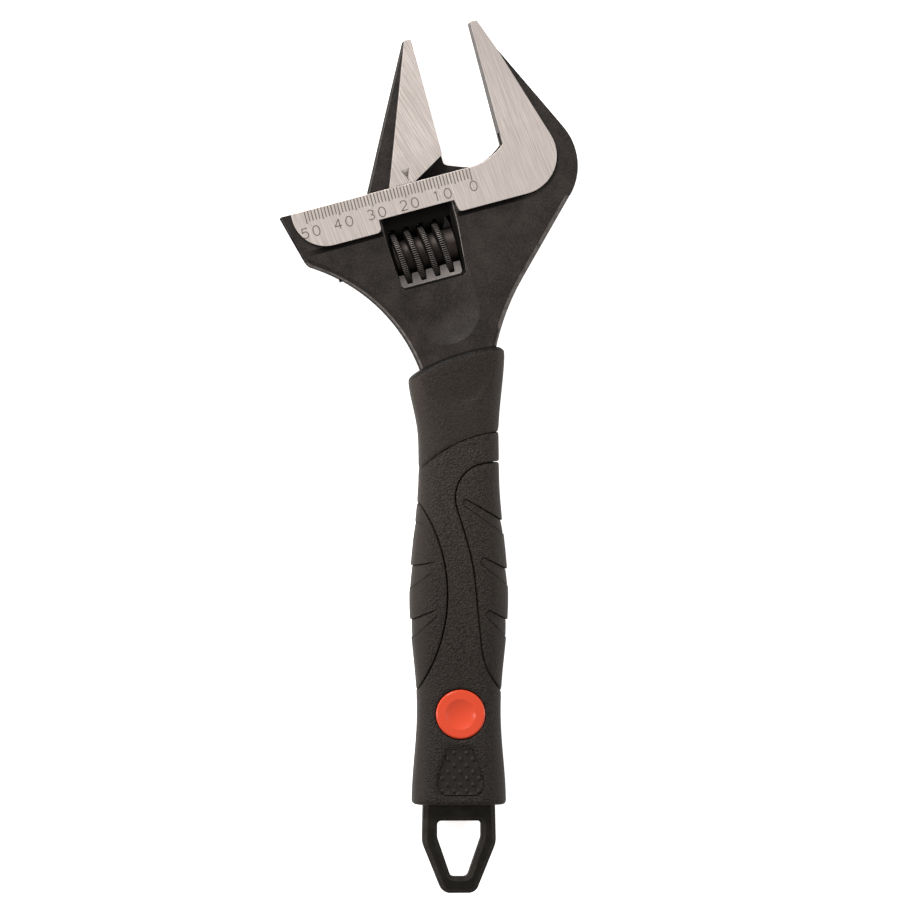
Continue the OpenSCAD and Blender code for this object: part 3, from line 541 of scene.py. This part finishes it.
for name, material in (("wrench_body", body_steel), ("movable_jaw", jaw_steel),
                       ("axle_screw", screw_steel), ("worm_spring", screw_steel),
                       ("accent_cap", cap_skin), ("worm", worm_steel), ("grip_core", core_skin),
                       ("grip_panel_left", panel_skin), ("grip_panel_right", panel_skin)):
    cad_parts[name].material_slots[0].material = material


# ---------------------------------------------------------------- grip form
# Width and thickness at shares of the grip's length
WIDE = [(0, 28.2), (0.19, 23.5), (0.25, 23.5), (0.54, 28.9), (0.79, 24.5), (1, 27.6)]
THICK = [(0, 17.067), (0.21, 16.6), (0.51, 18.0), (0.79, 16.6), (1, 18.0)]
SKEW_SHARE, LEAN_SHARE = 0.3, 0.26  # how far down the collar's slant and lean reach
RING_W, RING_T = 13, 8.7            # half sizes of the section that places are measured on


def ease(t):
    """A soft change from 0 to 1."""
    return (1 - np.cos(np.pi * t)) / 2


def along(stations, t):
    """The stations' value at shares t, with a soft change from one to the next."""
    out = np.full_like(t, stations[-1][1], dtype=float)
    for (a, va), (b, vb) in zip(stations[::-1][1:], stations[::-1][:-1]):
        part = np.clip((t - a) / (b - a), 0, 1)
        out = np.where(t <= b, va + (vb - va) * ease(part), out)
    return out


# Half of the cross-section, by its own arc length: left edge, over the face, right edge
phi = np.linspace(np.pi, 0, 6001)
ring_x = np.sign(np.cos(phi)) * np.abs(np.cos(phi)) ** (2 / POWER)
ring_z = np.abs(np.sin(phi)) ** (2 / POWER)
ring_s = np.concatenate([[0], np.cumsum(np.hypot(np.diff(ring_x * RING_W),
                                                 np.diff(ring_z * RING_T)))])
HALF = ring_s[-1]


def rounding(at, radius):
    """How far a rounded corner stands back at a distance from its edge."""
    reach = radius - np.minimum(at, radius)
    return np.where(at < radius, radius - np.sqrt(np.maximum(0, radius ** 2 - reach ** 2)), 0)


def skew_lean(share):
    """The collar's slant and its shift to the side, at shares of the grip's length."""
    return (np.maximum(0, 1 - share / SKEW_SHARE) ** 2,
            LEAN * (1 - ease(np.minimum(1, share / LEAN_SHARE))))


def grip_point(places, depth):
    """Places (s round the half ring, t down the grip) and a depth to handle axes."""
    s, t = places[:, 0], places[:, 1]
    x1, z1 = np.interp(s, ring_s, ring_x), np.interp(s, ring_s, ring_z)
    share = t / LENGTH
    inset = depth + rounding(np.minimum(t, LENGTH - t), EDGE)
    corner = np.where(x1 < 0, rounding(t, CORNER), 0)
    corner = np.where((t < CUT) & (x1 > 0), CUT_SLOPE * (CUT - t), corner)
    x = (along(WIDE, share) / 2 - inset - corner) * x1
    z = (along(THICK, share) / 2 - inset) * z1
    skew, lean = skew_lean(share)
    return np.stack([x - lean, -TOP - t + skew * (SLOPE * x + ARCH * x * x), z], 1)


def grip_place(points):
    """Points of the grip's face (x, y) to places; x past the edge stays past it."""
    x, y = np.asarray(points, float).T
    t = -TOP - y
    for _ in range(30):
        skew, lean = skew_lean(np.clip(t / LENGTH, 0, 1))
        x0 = x + lean
        t = -TOP - y + skew * (SLOPE * x0 + ARCH * x0 * x0)
    ratio = x0 / (along(WIDE, np.clip(t / LENGTH, 0, 1)) / 2)
    s = np.interp(np.clip(ratio, -1, 1), ring_x, ring_s)
    s = s + np.where(np.abs(ratio) > 1, (np.abs(ratio) - 1) * np.sign(ratio) * RING_W, 0)
    return np.stack([s, t], 1)


# ---------------------------------------------------------------- plane curves
def unit(v):
    """The direction of v."""
    return v / np.linalg.norm(v)


def rounded(corners, closed=False, step=6.0):
    """Corners (x, y, radius) to points, each corner as an arc."""
    out, n = [], len(corners)
    for i, (x, y, r) in enumerate(corners):
        here = np.array([x, y])
        if r <= 0 or (not closed and i in (0, n - 1)):
            out.append(here)
            continue
        a = unit(here - np.array(corners[i - 1][:2]))
        b = unit(np.array(corners[(i + 1) % n][:2]) - here)
        bend = math.atan2(a[0] * b[1] - a[1] * b[0], float(a @ b))
        reach = r * math.tan(abs(bend) / 2)
        start = here - reach * a
        mid = start + math.copysign(r, bend) * np.array([-a[1], a[0]])
        count = max(2, int(math.degrees(abs(bend)) / step))
        for k in range(count + 1):
            t = bend * k / count
            d = start - mid
            out.append(mid + np.array([d[0] * math.cos(t) - d[1] * math.sin(t),
                                       d[0] * math.sin(t) + d[1] * math.cos(t)]))
    return np.array(out)


def spaced(path, gap, closed=False):
    """The same path with points about gap apart."""
    path = np.vstack([path, path[:1]]) if closed else path
    length = np.concatenate([[0], np.cumsum(np.linalg.norm(np.diff(path, axis=0), axis=1))])
    count = max(2, int(round(length[-1] / gap)))
    at = np.linspace(0, length[-1], count + 1)[:-1 if closed else None]
    return np.stack([np.interp(at, length, path[:, 0]), np.interp(at, length, path[:, 1])], 1)


def shifted(path, by, closed=False):
    """The path moved to its left by a distance."""
    if closed:
        along_path = np.roll(path, -1, 0) - np.roll(path, 1, 0)
    else:
        along_path = np.gradient(path, axis=0)
    along_path /= np.linalg.norm(along_path, axis=1)[:, None]
    return path + by * np.stack([-along_path[:, 1], along_path[:, 0]], 1)


def clipped(path):
    """The part of an open path between the two edges of the half ring, ending on them."""
    out = []
    for a, b in zip(path[:-1], path[1:]):
        inside_a, inside_b = 0 < a[0] < HALF, 0 < b[0] < HALF
        if inside_a:
            out.append(a)
        if inside_a != inside_b:
            edge = 0.0 if min(a[0], b[0]) <= 0 else HALF
            k = (edge - a[0]) / (b[0] - a[0])
            out.append(np.array([edge, a[1] + k * (b[1] - a[1])]))
    if 0 < path[-1][0] < HALF:
        out.append(path[-1])
    return np.array(out)


def inside(points, polygon):
    """Which points lie in a polygon."""
    x, y = points[:, 0], points[:, 1]
    hit = np.zeros(len(points), bool)
    for (ax, ay), (bx, by) in zip(polygon, np.roll(polygon, -1, 0)):
        cross = (ay > y) != (by > y)
        with np.errstate(divide="ignore", invalid="ignore"):
            hit ^= cross & (x < (bx - ax) * (y - ay) / (by - ay if by != ay else 1e-12) + ax)
    return hit


def nearest(points, path):
    """Distance from each point to a path's points."""
    tree_of = KDTree(len(path))
    for i, (x, y) in enumerate(path):
        tree_of.insert((x, y, 0), i)
    tree_of.balance()
    return np.array([tree_of.find((x, y, 0))[2] for x, y in points])


# ---------------------------------------------------------------- grip sheets
WAIST = 23.5                        # the grip's narrowest width
BED, UNDERSIDE = 1.6, 1.5           # depth of the core under a panel, and of the panel
SEAT, SEAT_GAP = 1.72, 0.32         # depth of the cap's seat, and the gap round the cap
HOLLOW_DEPTH, HOLLOW_REACH = 0.5, 2.4
PATCH_DEPTH, DOT_ROW = 0.3, 1.87


def down(x, share, r=0):
    """A corner of a panel's outline: shares of the waist's width and the grip's length."""
    return (x * WAIST, -TOP - LENGTH * share, r * WAIST)


outline_right = rounded([
    down(0.85, 0.2303), down(-0.196, 0.2527, 0.4255), down(0.166, 0.458, 2.55),
    down(0.298, 0.695, 0.85), down(0.85, 0.818)], step=3)
outline_left = rounded([
    down(-0.85, 0.8486), down(0.126, 0.528, 2.04), down(-0.85, 0.2263)], step=3)
collar = rounded([down(-0.85, 0.3144), down(-0.06, 0.1776, 1.57), down(0.85, 0.1663)], step=3)
patch = rounded([
    (-3.9, -170.0, 1.6), (3.4, -170.0, 1.6), (6.85, -179.2, 3.0), (6.5, -183.95, 2.2),
    (-6.2, -183.95, 2.2), (-7.0, -178.9, 3.0)], closed=True)
hollow = np.array([(-13.5, -58), (-12.2, -60.5), (-11.2, -64), (-8.9, -68.2), (-5.5, -70.6),
                   (-2.5, -71.3), (2, -70.6), (6, -68), (9.2, -63.5), (10.9, -58), (11.2, -50)])
# Four corners of each tread notch and its share of the depth
TREADS = {
    "right": [((1.35, -96.9), (16, -105.1), (16, -109.5), (0.23, -98.8), 1),
              ((6.5, -113.9), (16, -118.5), (16, -124.0), (5.4, -115.9), 1),
              ((8.2, -129.5), (16, -133.2), (16, -140.0), (7.2, -131.4), 1)],
    "left": [((-10.4, -105.0), (-16, -102.2), (-16, -111.0), (-10.6, -105.8), 0.5),
             ((-7.6, -115.5), (-16, -116.8), (-16, -124.6), (-6.5, -117.3), 1),
             ((-5.9, -128.8), (-16, -133.0), (-16, -140.0), (-6.2, -130.6), 1)]}
TREAD_DEPTH, TREAD_LINE, TREAD_GROOVE = 0.52, 0.5, 0.16
TREAD_RUN, TREAD_START = 12, 2.5    # lengths over which a notch gets its depth


def base_points():
    """Points over the half ring, closer at its two ends: its border and its inside."""
    t = np.concatenate([[0, 0.1, 0.35, 0.75], np.linspace(EDGE, LENGTH - EDGE, 86),
                        LENGTH - np.array([0.75, 0.35, 0.1, 0])])
    s = np.linspace(0, HALF, 47)
    grid = np.stack(np.meshgrid(s, t), -1).reshape(-1, 2)
    border = np.isin(grid[:, 0], (0, HALF)) | np.isin(grid[:, 1], (0, LENGTH))
    return grid[border], grid[~border]


def sheet(curves, depth_of):
    """Triangulates the half ring round the given curves [(points, depth, closed)]."""
    border, free = base_points()
    fixed = np.vstack([c[0] for c in curves])
    lines = np.vstack([spaced(c[0], 0.15, c[2]) for c in curves])
    free = free[nearest(free, lines) > 0.3]
    on_edge = [p for c in curves for p in c[0] if p[0] in (0.0, HALF)]
    if on_edge:
        crossing = np.array(on_edge)
        side = (border[:, 0] == 0) | (border[:, 0] == HALF)
        inner = side & (border[:, 1] > 0) & (border[:, 1] < LENGTH)
        border = border[~(inner & (nearest(border, crossing) < 0.25))]
    points = np.vstack([border, free, fixed])
    depth = depth_of(points)
    edges, at = [], len(border) + len(free)
    for path, given, closed in curves:
        n = len(path)
        edges += [(at + i, at + (i + 1) % n) for i in range(n if closed else n - 1)]
        depth[at:at + n] = given
        at += n
    made, _, faces, origin, _, _ = delaunay_2d_cdt(
        [Vector(p) for p in points], edges, [], 0, 1e-5, True)
    made = np.array([tuple(p) for p in made])
    made_depth = depth_of(made)
    for i, source in enumerate(origin):
        if source:
            made_depth[i] = max(depth[source[0]], depth[source[-1]])
            made[i] = points[source[0]]
    return made, np.array([tuple(f) for f in faces]), made_depth


def two_sides(front, back):
    """Front and back sheets to one mesh, the back mirrored through the thickness."""
    points, faces = [], []
    for (places, tris, depth), flip in ((front, 1), (back, -1)):
        p = grip_point(places, depth)
        p[:, 2] *= flip
        before = sum(len(q) for q in points)
        faces += [tuple(np.array(f[::flip]) + before) for f in tris]
        points.append(p)
    return np.vstack(points), faces


def end_faces(front, back, at, offset):
    """Strip that closes one end of the grip between the two sheets."""
    rows = []
    for places, _, _ in (front, back):
        index = np.where(places[:, 1] == at)[0]
        rows.append(index[np.argsort(places[index, 0])])
    a, b = rows[0], rows[1] + offset
    out = []
    for i in range(len(a) - 1):
        face = (a[i], a[i + 1], b[i + 1], b[i])
        out.append(face if at else face[::-1])
    return out


def seam_curves(outline):
    """The core's edge and bed along a seam, with the panel on the right of the outline."""
    path = grip_place(spaced(outline, 0.5))
    return [(clipped(shifted(path, by)), depth, False)
            for by, depth in ((SEAM - 0.08, BED), (SEAM, 0.2), (SEAM + 0.3, 0.0))]


def region(outline):
    """The panel's region in the half ring, closed past the edge."""
    path = grip_place(spaced(outline, 0.5))
    beyond = HALF + 30 if path[0, 0] > HALF / 2 else -30
    return np.vstack([path, [[beyond, path[-1, 1]], [beyond, path[0, 1]]]])


right_region, left_region = region(outline_right), region(outline_left)
hollow_path = grip_place(spaced(hollow, 0.5))
hollow_region = np.vstack([hollow_path, [[hollow_path[-1, 0], -20], [hollow_path[0, 0], -20]]])


def core_depth(points):
    """Depth of the core's skin away from its curves, on both faces."""
    depth = np.zeros(len(points))
    in_hollow = inside(points, hollow_region)
    reach = np.clip(nearest(points, hollow_path) / HOLLOW_REACH, 0, 1)
    depth[in_hollow] = HOLLOW_DEPTH * (reach * reach * (3 - 2 * reach))[in_hollow]
    depth[inside(points, right_region) | inside(points, left_region)] = BED
    return depth


def circle(x, y, r, count):
    """Points on a circle of the grip's face."""
    a = np.linspace(0, 2 * np.pi, count, endpoint=False)
    return np.stack([x + r * np.cos(a), y + r * np.sin(a)], 1)


patch_places = grip_place(spaced(patch, 0.7, True))
cap_places = grip_place(circle(0, -CAP_DOWN, CAP_R + 0.36, 72))
dots = [(x, -171.4 - DOT_ROW * row) for row, xs in enumerate(
    ([-1.9, 1.9], [-3.7, 0, 3.7], [-1.9, 1.9], [-3.8, 0, 3.8], [-5.6, -1.9, 1.9, 5.6],
     [-3.8, 0, 3.8], [-5.5, -1.9, 1.9, 5.5])) for x in xs]


def front_depth(points):
    """The same on the front, with the dotted patch and the cap's seat."""
    depth = core_depth(points)
    depth[inside(points, patch_places)] = PATCH_DEPTH
    depth[inside(points, cap_places)] = SEAT
    return depth


core_curves = seam_curves(outline_right) + seam_curves(outline_left)
collar_place = grip_place(spaced(collar, 0.8))
core_curves += [(clipped(shifted(collar_place, by)), depth, False)
                for by, depth in ((0.16, 0.0), (0.0, 0.6), (-0.2, 0.2), (-0.85, 0.0))]
front_curves = list(core_curves)
front_curves += [(grip_place(circle(0, -CAP_DOWN, r, 72)), depth, True)
                 for r, depth in ((CAP_R + 0.65, 0.0), (CAP_R + 0.4, 0.15),
                                  (CAP_R + SEAT_GAP, SEAT))]
front_curves += [(shifted(patch_places, by, True), depth, True)
                 for by, depth in ((0.28, 0.0), (0.0, 0.42), (-0.24, PATCH_DEPTH))]
for x, y in dots:
    for r, depth, count in ((0.78, PATCH_DEPTH, 14), (0.56, 0.06, 14), (0.28, -0.06, 7)):
        front_curves.append((grip_place(circle(x, y, r, count)), depth, True))
front = sheet(front_curves, front_depth)
back = sheet(core_curves, core_depth)
core_points, core_faces = two_sides(front, back)
for end in (0.0, LENGTH):
    core_faces += end_faces(front, back, end, len(front[0]))
core = add_mesh("grip_core_moulding", from_handle(core_points), core_faces, core_skin, "body",
                smooth=32)
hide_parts("grip_core")


def panel(name, outline, treads, node_name):
    """A soft panel: a sheet with tread notches on both faces, its walls and its underside."""
    path = grip_place(spaced(outline, 0.5))
    curves = [(clipped(shifted(path, by)), depth, False)
              for by, depth in ((0.0, 0.45), (-0.16, 0.12), (-0.5, 0.0))]
    lips = []
    for a, b, c, d, deep_share in treads:
        lip = rounded([(*b, 0), (*a, 0.45), (*d, 0.45), (*c, 0)], step=15)
        lips.append((lip, *(np.array(p) for p in (a, b, c, d)), deep_share))
        # The lip, the dark line just inside it and the notch's own floor
        for by, depth in ((0, 0.0), (0.13, "line"), (0.3, "floor")):
            inner = shifted(spaced(lip, 0.25), by if b[0] > 0 else -by)
            curves.append((clipped(grip_place(spaced(inner, 0.4))), depth, False))

    def depth_of(points):
        """Depth of the notches, deeper towards the lower lip and the grip's edge."""
        depth = np.zeros(len(points))
        flat = grip_point(points, np.zeros(len(points)))[:, :2]
        for lip, a, b, c, d, deep_share in lips:
            upper, lower = unit(b - a), unit(c - d)
            below = np.abs(upper[0] * (flat - a)[:, 1] - upper[1] * (flat - a)[:, 0])
            above = np.abs(lower[0] * (flat - d)[:, 1] - lower[1] * (flat - d)[:, 0])
            past = np.maximum(0, (flat - (a + d) / 2) @ upper)
            slope = above / (below + above)
            deep = deep_share * TREAD_DEPTH * np.clip(0.5 + past / TREAD_RUN, 0, 1)
            deep = deep * (0.4 + 0.6 * slope)
            if b[0] < 0:
                deep *= np.clip(past / TREAD_START, 0, 1)
            depth = np.where(inside(flat, lip), deep, depth)
        return depth

    def lined(points, line):
        """The same with the groove along the lip where line is true."""
        deep = depth_of(points)
        return deep + line * np.maximum(TREAD_LINE * deep, np.minimum(deep, TREAD_GROOVE))

    curves = [(p, lined(p, d == "line") if isinstance(d, str) else d, c) for p, d, c in curves]
    places, tris, depth = sheet(curves, depth_of)
    keep = tris[inside(places[tris].mean(1), region(outline))]
    used = np.unique(keep)
    index = np.full(len(places), -1)
    index[used] = np.arange(len(used))
    half = (places[used], index[keep], depth[used])
    bed = (half[0], half[1], np.full(len(used), UNDERSIDE))
    points, faces = two_sides(half, half)
    under, _ = two_sides(bed, bed)
    count = len(points)
    edges = {(f[i], f[(i + 1) % 3]) for f in faces for i in range(3)}
    middle = np.abs(points[:, 2]) < 1e-9
    rim = [e for e in edges if (e[1], e[0]) not in edges and not (middle[e[0]] and middle[e[1]])]
    solid = list(faces) + [tuple(i + count for i in f[::-1]) for f in faces]
    solid += [(b, a, a + count, b + count) for a, b in rim]
    piece = add_mesh(name, from_handle(np.vstack([points, under])), solid, panel_skin, "body",
                     smooth=32)
    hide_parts(node_name)


panel("grip_panel_right_skin", outline_right, TREADS["right"], "grip_panel_right")
panel("grip_panel_left_skin", outline_left, TREADS["left"], "grip_panel_left")


# ---------------------------------------------------------------- worm
FIRST_CREST = -14.55 + WORM_BACK
THREAD_LO, THREAD_HI = 0.4, WORM_L - 2.3
CHAMFER = 0.3
NOTCHES, PER_NOTCH, NOTCH_DEPTH = 76, 4, 0.36
SHOULDER = 0.2                      # the notches fade out this far below the crest
# Half of the thread's profile: offset along the worm and radius
half_profile = np.array([(0.6, CREST_R), (0.66, CREST_R - 0.03), (0.8, CREST_R - SHOULDER),
                         (1.12, ROOT_R + 0.12), (1.38, ROOT_R)])
offsets = np.concatenate([-half_profile[::-1, 0], half_profile[:, 0]])
radii = np.concatenate([half_profile[::-1, 1], half_profile[:, 1]])


def worm_mesh():
    """The worm as rings of points from its bore over the thread and back to its bore."""
    steps = NOTCHES * PER_NOTCH
    first = FIRST_CREST - PITCH * math.ceil((FIRST_CREST - THREAD_LO) / PITCH + 2)
    turns = int(math.ceil((THREAD_HI - first) / PITCH)) + 2
    angle = 2 * np.pi * np.arange(steps) / steps
    notch = np.where(np.arange(steps) % PER_NOTCH < 2, 0.0, NOTCH_DEPTH)
    rows = []

    def row(z, r):
        """A ring of points at heights z and radii r."""
        z, r = np.broadcast_to(z, steps), np.broadcast_to(r, steps)
        rows.append(np.stack([r * np.cos(angle), r * np.sin(angle), z], 1))

    def radius_at(z):
        """The radius of the notched thread at each angle's height z."""
        off = (z - first) / PITCH - angle / (2 * np.pi)
        off = PITCH * (off - np.round(off))
        r = np.interp(off, offsets, radii, left=ROOT_R, right=ROOT_R)
        return r - notch * np.clip((r - (CREST_R - SHOULDER)) / SHOULDER, 0, 1)

    for z, r in ((0, BORE_R), (0, ROOT_R - CHAMFER), (CHAMFER, ROOT_R), (THREAD_LO, ROOT_R)):
        row(z, r)
    for k in range(turns):
        for off in offsets:
            z = np.clip(first + PITCH * (k + angle / (2 * np.pi)) + off, THREAD_LO, THREAD_HI)
            row(z, radius_at(z))
    for z, r in ((THREAD_HI, ROOT_R), (WORM_L - CHAMFER, ROOT_R), (WORM_L, ROOT_R - CHAMFER),
                 (WORM_L, BORE_R)):
        row(z, r)
    grid = np.array(rows)
    count = len(grid)
    faces = []
    for j in range(count):
        low, high = j * steps, (j + 1) % count * steps
        faces += [(low + i, high + i, high + (i + 1) % steps, low + (i + 1) % steps)
                  for i in range(steps)]
    p = grid.reshape(-1, 3)
    return from_head(np.stack([p[:, 2] - WORM_BACK, p[:, 0] - WORM_DROP, p[:, 1]], 1)), faces


worm_points, worm_faces = worm_mesh()
worm = add_mesh("worm_knurled", worm_points, worm_faces, worm_steel, "worm", smooth=35)
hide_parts("worm")


# ---------------------------------------------------------------- engraved scale
MARK_Z = PAD_Z + 0.012              # just over the ground face
ZERO_U, SCALE_END, LONG_TICK = -0.35, 50, 10
TICK_TOP, TICK_LINE, DIGIT_LINE = -0.2, 0.32, 0.3
TICK_FEET = -3.85, -3.65, -3.3      # of each tenth, each fifth and each other tick
DIGIT_V, DIGIT_DROP = -5.6, 0.016   # the digits' middle, and its fall from tick to tick
DIGIT_PITCH, DIGIT_SHIFT = 3.4, 0.4
POINTER = np.array([(-18.45, 1.6), (-19.65, 4.05), (-17.45, 4.3)])
mark_points, mark_faces = [], []
pointer_points, pointer_faces = [], []


def stroke(points, faces, path, width):
    """A flat line on a ground face, mitred at its bends."""
    path = np.asarray(path, float)
    at, n = len(points), len(path)
    for by in (width / 2, -width / 2):
        points += [(p[0], p[1], MARK_Z) for p in shifted(path, by)]
    faces += [(at + i, at + n + i, at + n + i + 1, at + i + 1) for i in range(n - 1)]


def arc(cx, cy, rx, ry, a0, a1, count):
    """Points on an ellipse from one angle to another, in degrees."""
    a = np.radians(np.linspace(a0, a1, count))
    return np.stack([cx + rx * np.cos(a), cy + ry * np.sin(a)], 1)


DIGITS = {
    "0": [arc(0, 0, 1.0, 1.45, 90, 450, 25)],
    "1": [[(-0.45, 1.0), (0.1, 1.45)], [(0.1, 1.45), (0.1, -1.45)]],
    "2": [np.vstack([arc(0, 0.62, 0.9, 0.83, 165, -35, 12), [(-0.95, -1.45)]]),
          [(-0.95, -1.4), (0.98, -1.4)]],
    "3": [np.vstack([arc(-0.05, 0.72, 0.82, 0.73, 150, -80, 12),
                     arc(-0.05, -0.72, 0.92, 0.73, 80, -150, 12)])],
    "4": [[(0.45, -1.45), (0.45, 1.45)], [(0.4, 1.45), (-1.0, -0.55)],
          [(-1.0, -0.55), (0.98, -0.55)]],
    "5": [[(0.85, 1.4), (-0.75, 1.4)], [(-0.7, 1.45), (-0.8, 0.15)],
          arc(-0.05, -0.5, 0.95, 0.95, 140, -150, 14)],
}
for k in range(SCALE_END + 1):
    foot = TICK_FEET[0 if k % LONG_TICK == 0 else 1 if k % (LONG_TICK // 2) == 0 else 2]
    stroke(mark_points, mark_faces, [(ZERO_U - k, TICK_TOP), (ZERO_U - k, foot)], TICK_LINE)
for k in range(0, SCALE_END + 1, LONG_TICK):
    text = str(k)
    for i, digit in enumerate(text):
        digit_u = ZERO_U - k + (i - (len(text) - 1) / 2) * DIGIT_PITCH + (
            DIGIT_SHIFT if k else 0)
        for path in DIGITS[digit]:
            stroke(mark_points, mark_faces,
                   np.asarray(path) + [digit_u, DIGIT_V - DIGIT_DROP * k], DIGIT_LINE)
middle = POINTER.sum(0) / 3
for size in (1.0, 0.62, 0.28):
    stroke(pointer_points, pointer_faces, middle + size * (POINTER[[0, 1, 2, 0]] - middle), 0.26)
stroke(pointer_points, pointer_faces, [POINTER[0], (-18.4, 0.75)], 0.24)
marks = add_mesh("scale_marks", from_head(mark_points), mark_faces, mark_ink, "body", tidy=False)
pointer = add_mesh("scale_pointer", from_head(pointer_points), pointer_faces, mark_ink, "jaw",
                   tidy=False)


# ---------------------------------------------------------------- floor and light
FLOOR_COLOUR = (0.86, 0.83, 0.81)
WARM_SHADE = (1.0, 0.9, 0.84)
FLOOR_HALF = 4.0                    # metres
GLOSSY_SHARE = 0.25                 # of the floor's glow, seen by glossy rays
WORLD_LIGHT = 0.32                  # on the object; the camera sees 1


def floor_material():
    """White to the camera, with a painted shadow of the wrench from ambient occlusion, and
    painted shade under the rack rod and along the bar, seen through the window.
    """
    material, graph, place = new_material("floor_white")
    graph.nodes.remove(graph.nodes["Principled BSDF"])
    path = graph.make("LightPath").output.node.outputs
    camera_ray, glossy_ray, through_ray = (Value(graph, path[f"Is {kind} Ray"]) for kind in (
        "Camera", "Glossy", "Transmission"))
    seen = camera_ray | through_ray | glossy_ray * GLOSSY_SHARE
    openness = graph.openness(16, samples=16)
    u, v, _ = graph.split(graph.in_head(place))
    # Painted shadow on the floor under the rack rod, by place in the head's axes
    rod_shadow = v.fade(-23, -20, 0, 1) * v.fade(-9, -6, 1, 0)
    rod_shadow = rod_shadow * abs(u + 18.7 * MM).fade(10, 12, 0.93, 0)
    level = openness.ramp(0.06, 0.28, 0.09, 0.95) * (1.0 - rod_shadow)
    shade = openness.ramp(0.25, 0.4, 1, 0)
    # Painted shade where the floor is closed in: more along the bar, and changing along v
    along_bar = u.fade(-28, -10, 0.48, 0.9)
    level = level * (1.0 - shade * (1.0 - along_bar))
    level = level * (1.0 - shade * v.fade(-28, -24.5, -0.15, 0.3))
    glow = graph.make("Emission", {"Color": graph.mix(shade, (1.0, 1.0, 1.0), WARM_SHADE),
                                   "Strength": seen * level})
    both = graph.make("AddShader", {0: graph.make("BsdfDiffuse", {"Color": FLOOR_COLOUR}),
                                    1: glow})
    graph.put(graph.nodes["Material Output"].inputs["Surface"], both)
    return material


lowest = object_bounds()[0].z
floor_mesh = bpy.data.meshes.new("floor")
floor_mesh.from_pydata([(sx * FLOOR_HALF, sy * FLOOR_HALF, lowest) for sx, sy in (
    (-1, -1), (1, -1), (1, 1), (-1, 1))], [], [(0, 1, 2, 3)])
floor = bpy.data.objects.new("floor", floor_mesh)
floor_mesh.materials.append(floor_material())
bpy.context.scene.collection.objects.link(floor)
floor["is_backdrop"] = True

world = bpy.data.worlds.new("studio")
bpy.context.scene.world = world
world_graph = Graph(world)
world_graph.put(world_graph.nodes["Background"].inputs["Color"], (1, 1, 1))
rays = world_graph.make("LightPath").output.node.outputs
seen = Value(world_graph, rays["Is Camera Ray"]) | Value(world_graph, rays["Is Transmission Ray"])
world_graph.put(world_graph.nodes["Background"].inputs["Strength"],
                seen * (1 - WORLD_LIGHT) + WORLD_LIGHT)

# Name, place, size in metres and power of each lamp; all point at the origin
for name, place, lamp_size, power in (
        ("lamp_key", (-0.55, 1.15, 0.9), (0.45, 0.45), 20),
        ("lamp_left", (-1.25, 0.0, 0.95), (0.35, 1.2), 5),
        ("lamp_left_low", (-1.35, -0.1, 0.3), (0.3, 1.5), 5),
        ("lamp_right_low", (1.35, 0.0, 0.3), (0.3, 1.5), 7)):
    lamp = bpy.data.lights.new(name, "AREA")
    lamp.shape = "RECTANGLE"
    lamp.size, lamp.size_y = lamp_size
    lamp.energy = power
    holder = bpy.data.objects.new(name, lamp)
    bpy.context.scene.collection.objects.link(holder)
    holder.location = place
    holder.rotation_mode = "QUATERNION"
    holder.rotation_quaternion = (-Vector(place)).to_track_quat("-Z", "Y")

size = {"cad": cad_box, "visual": [list(corner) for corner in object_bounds()]}
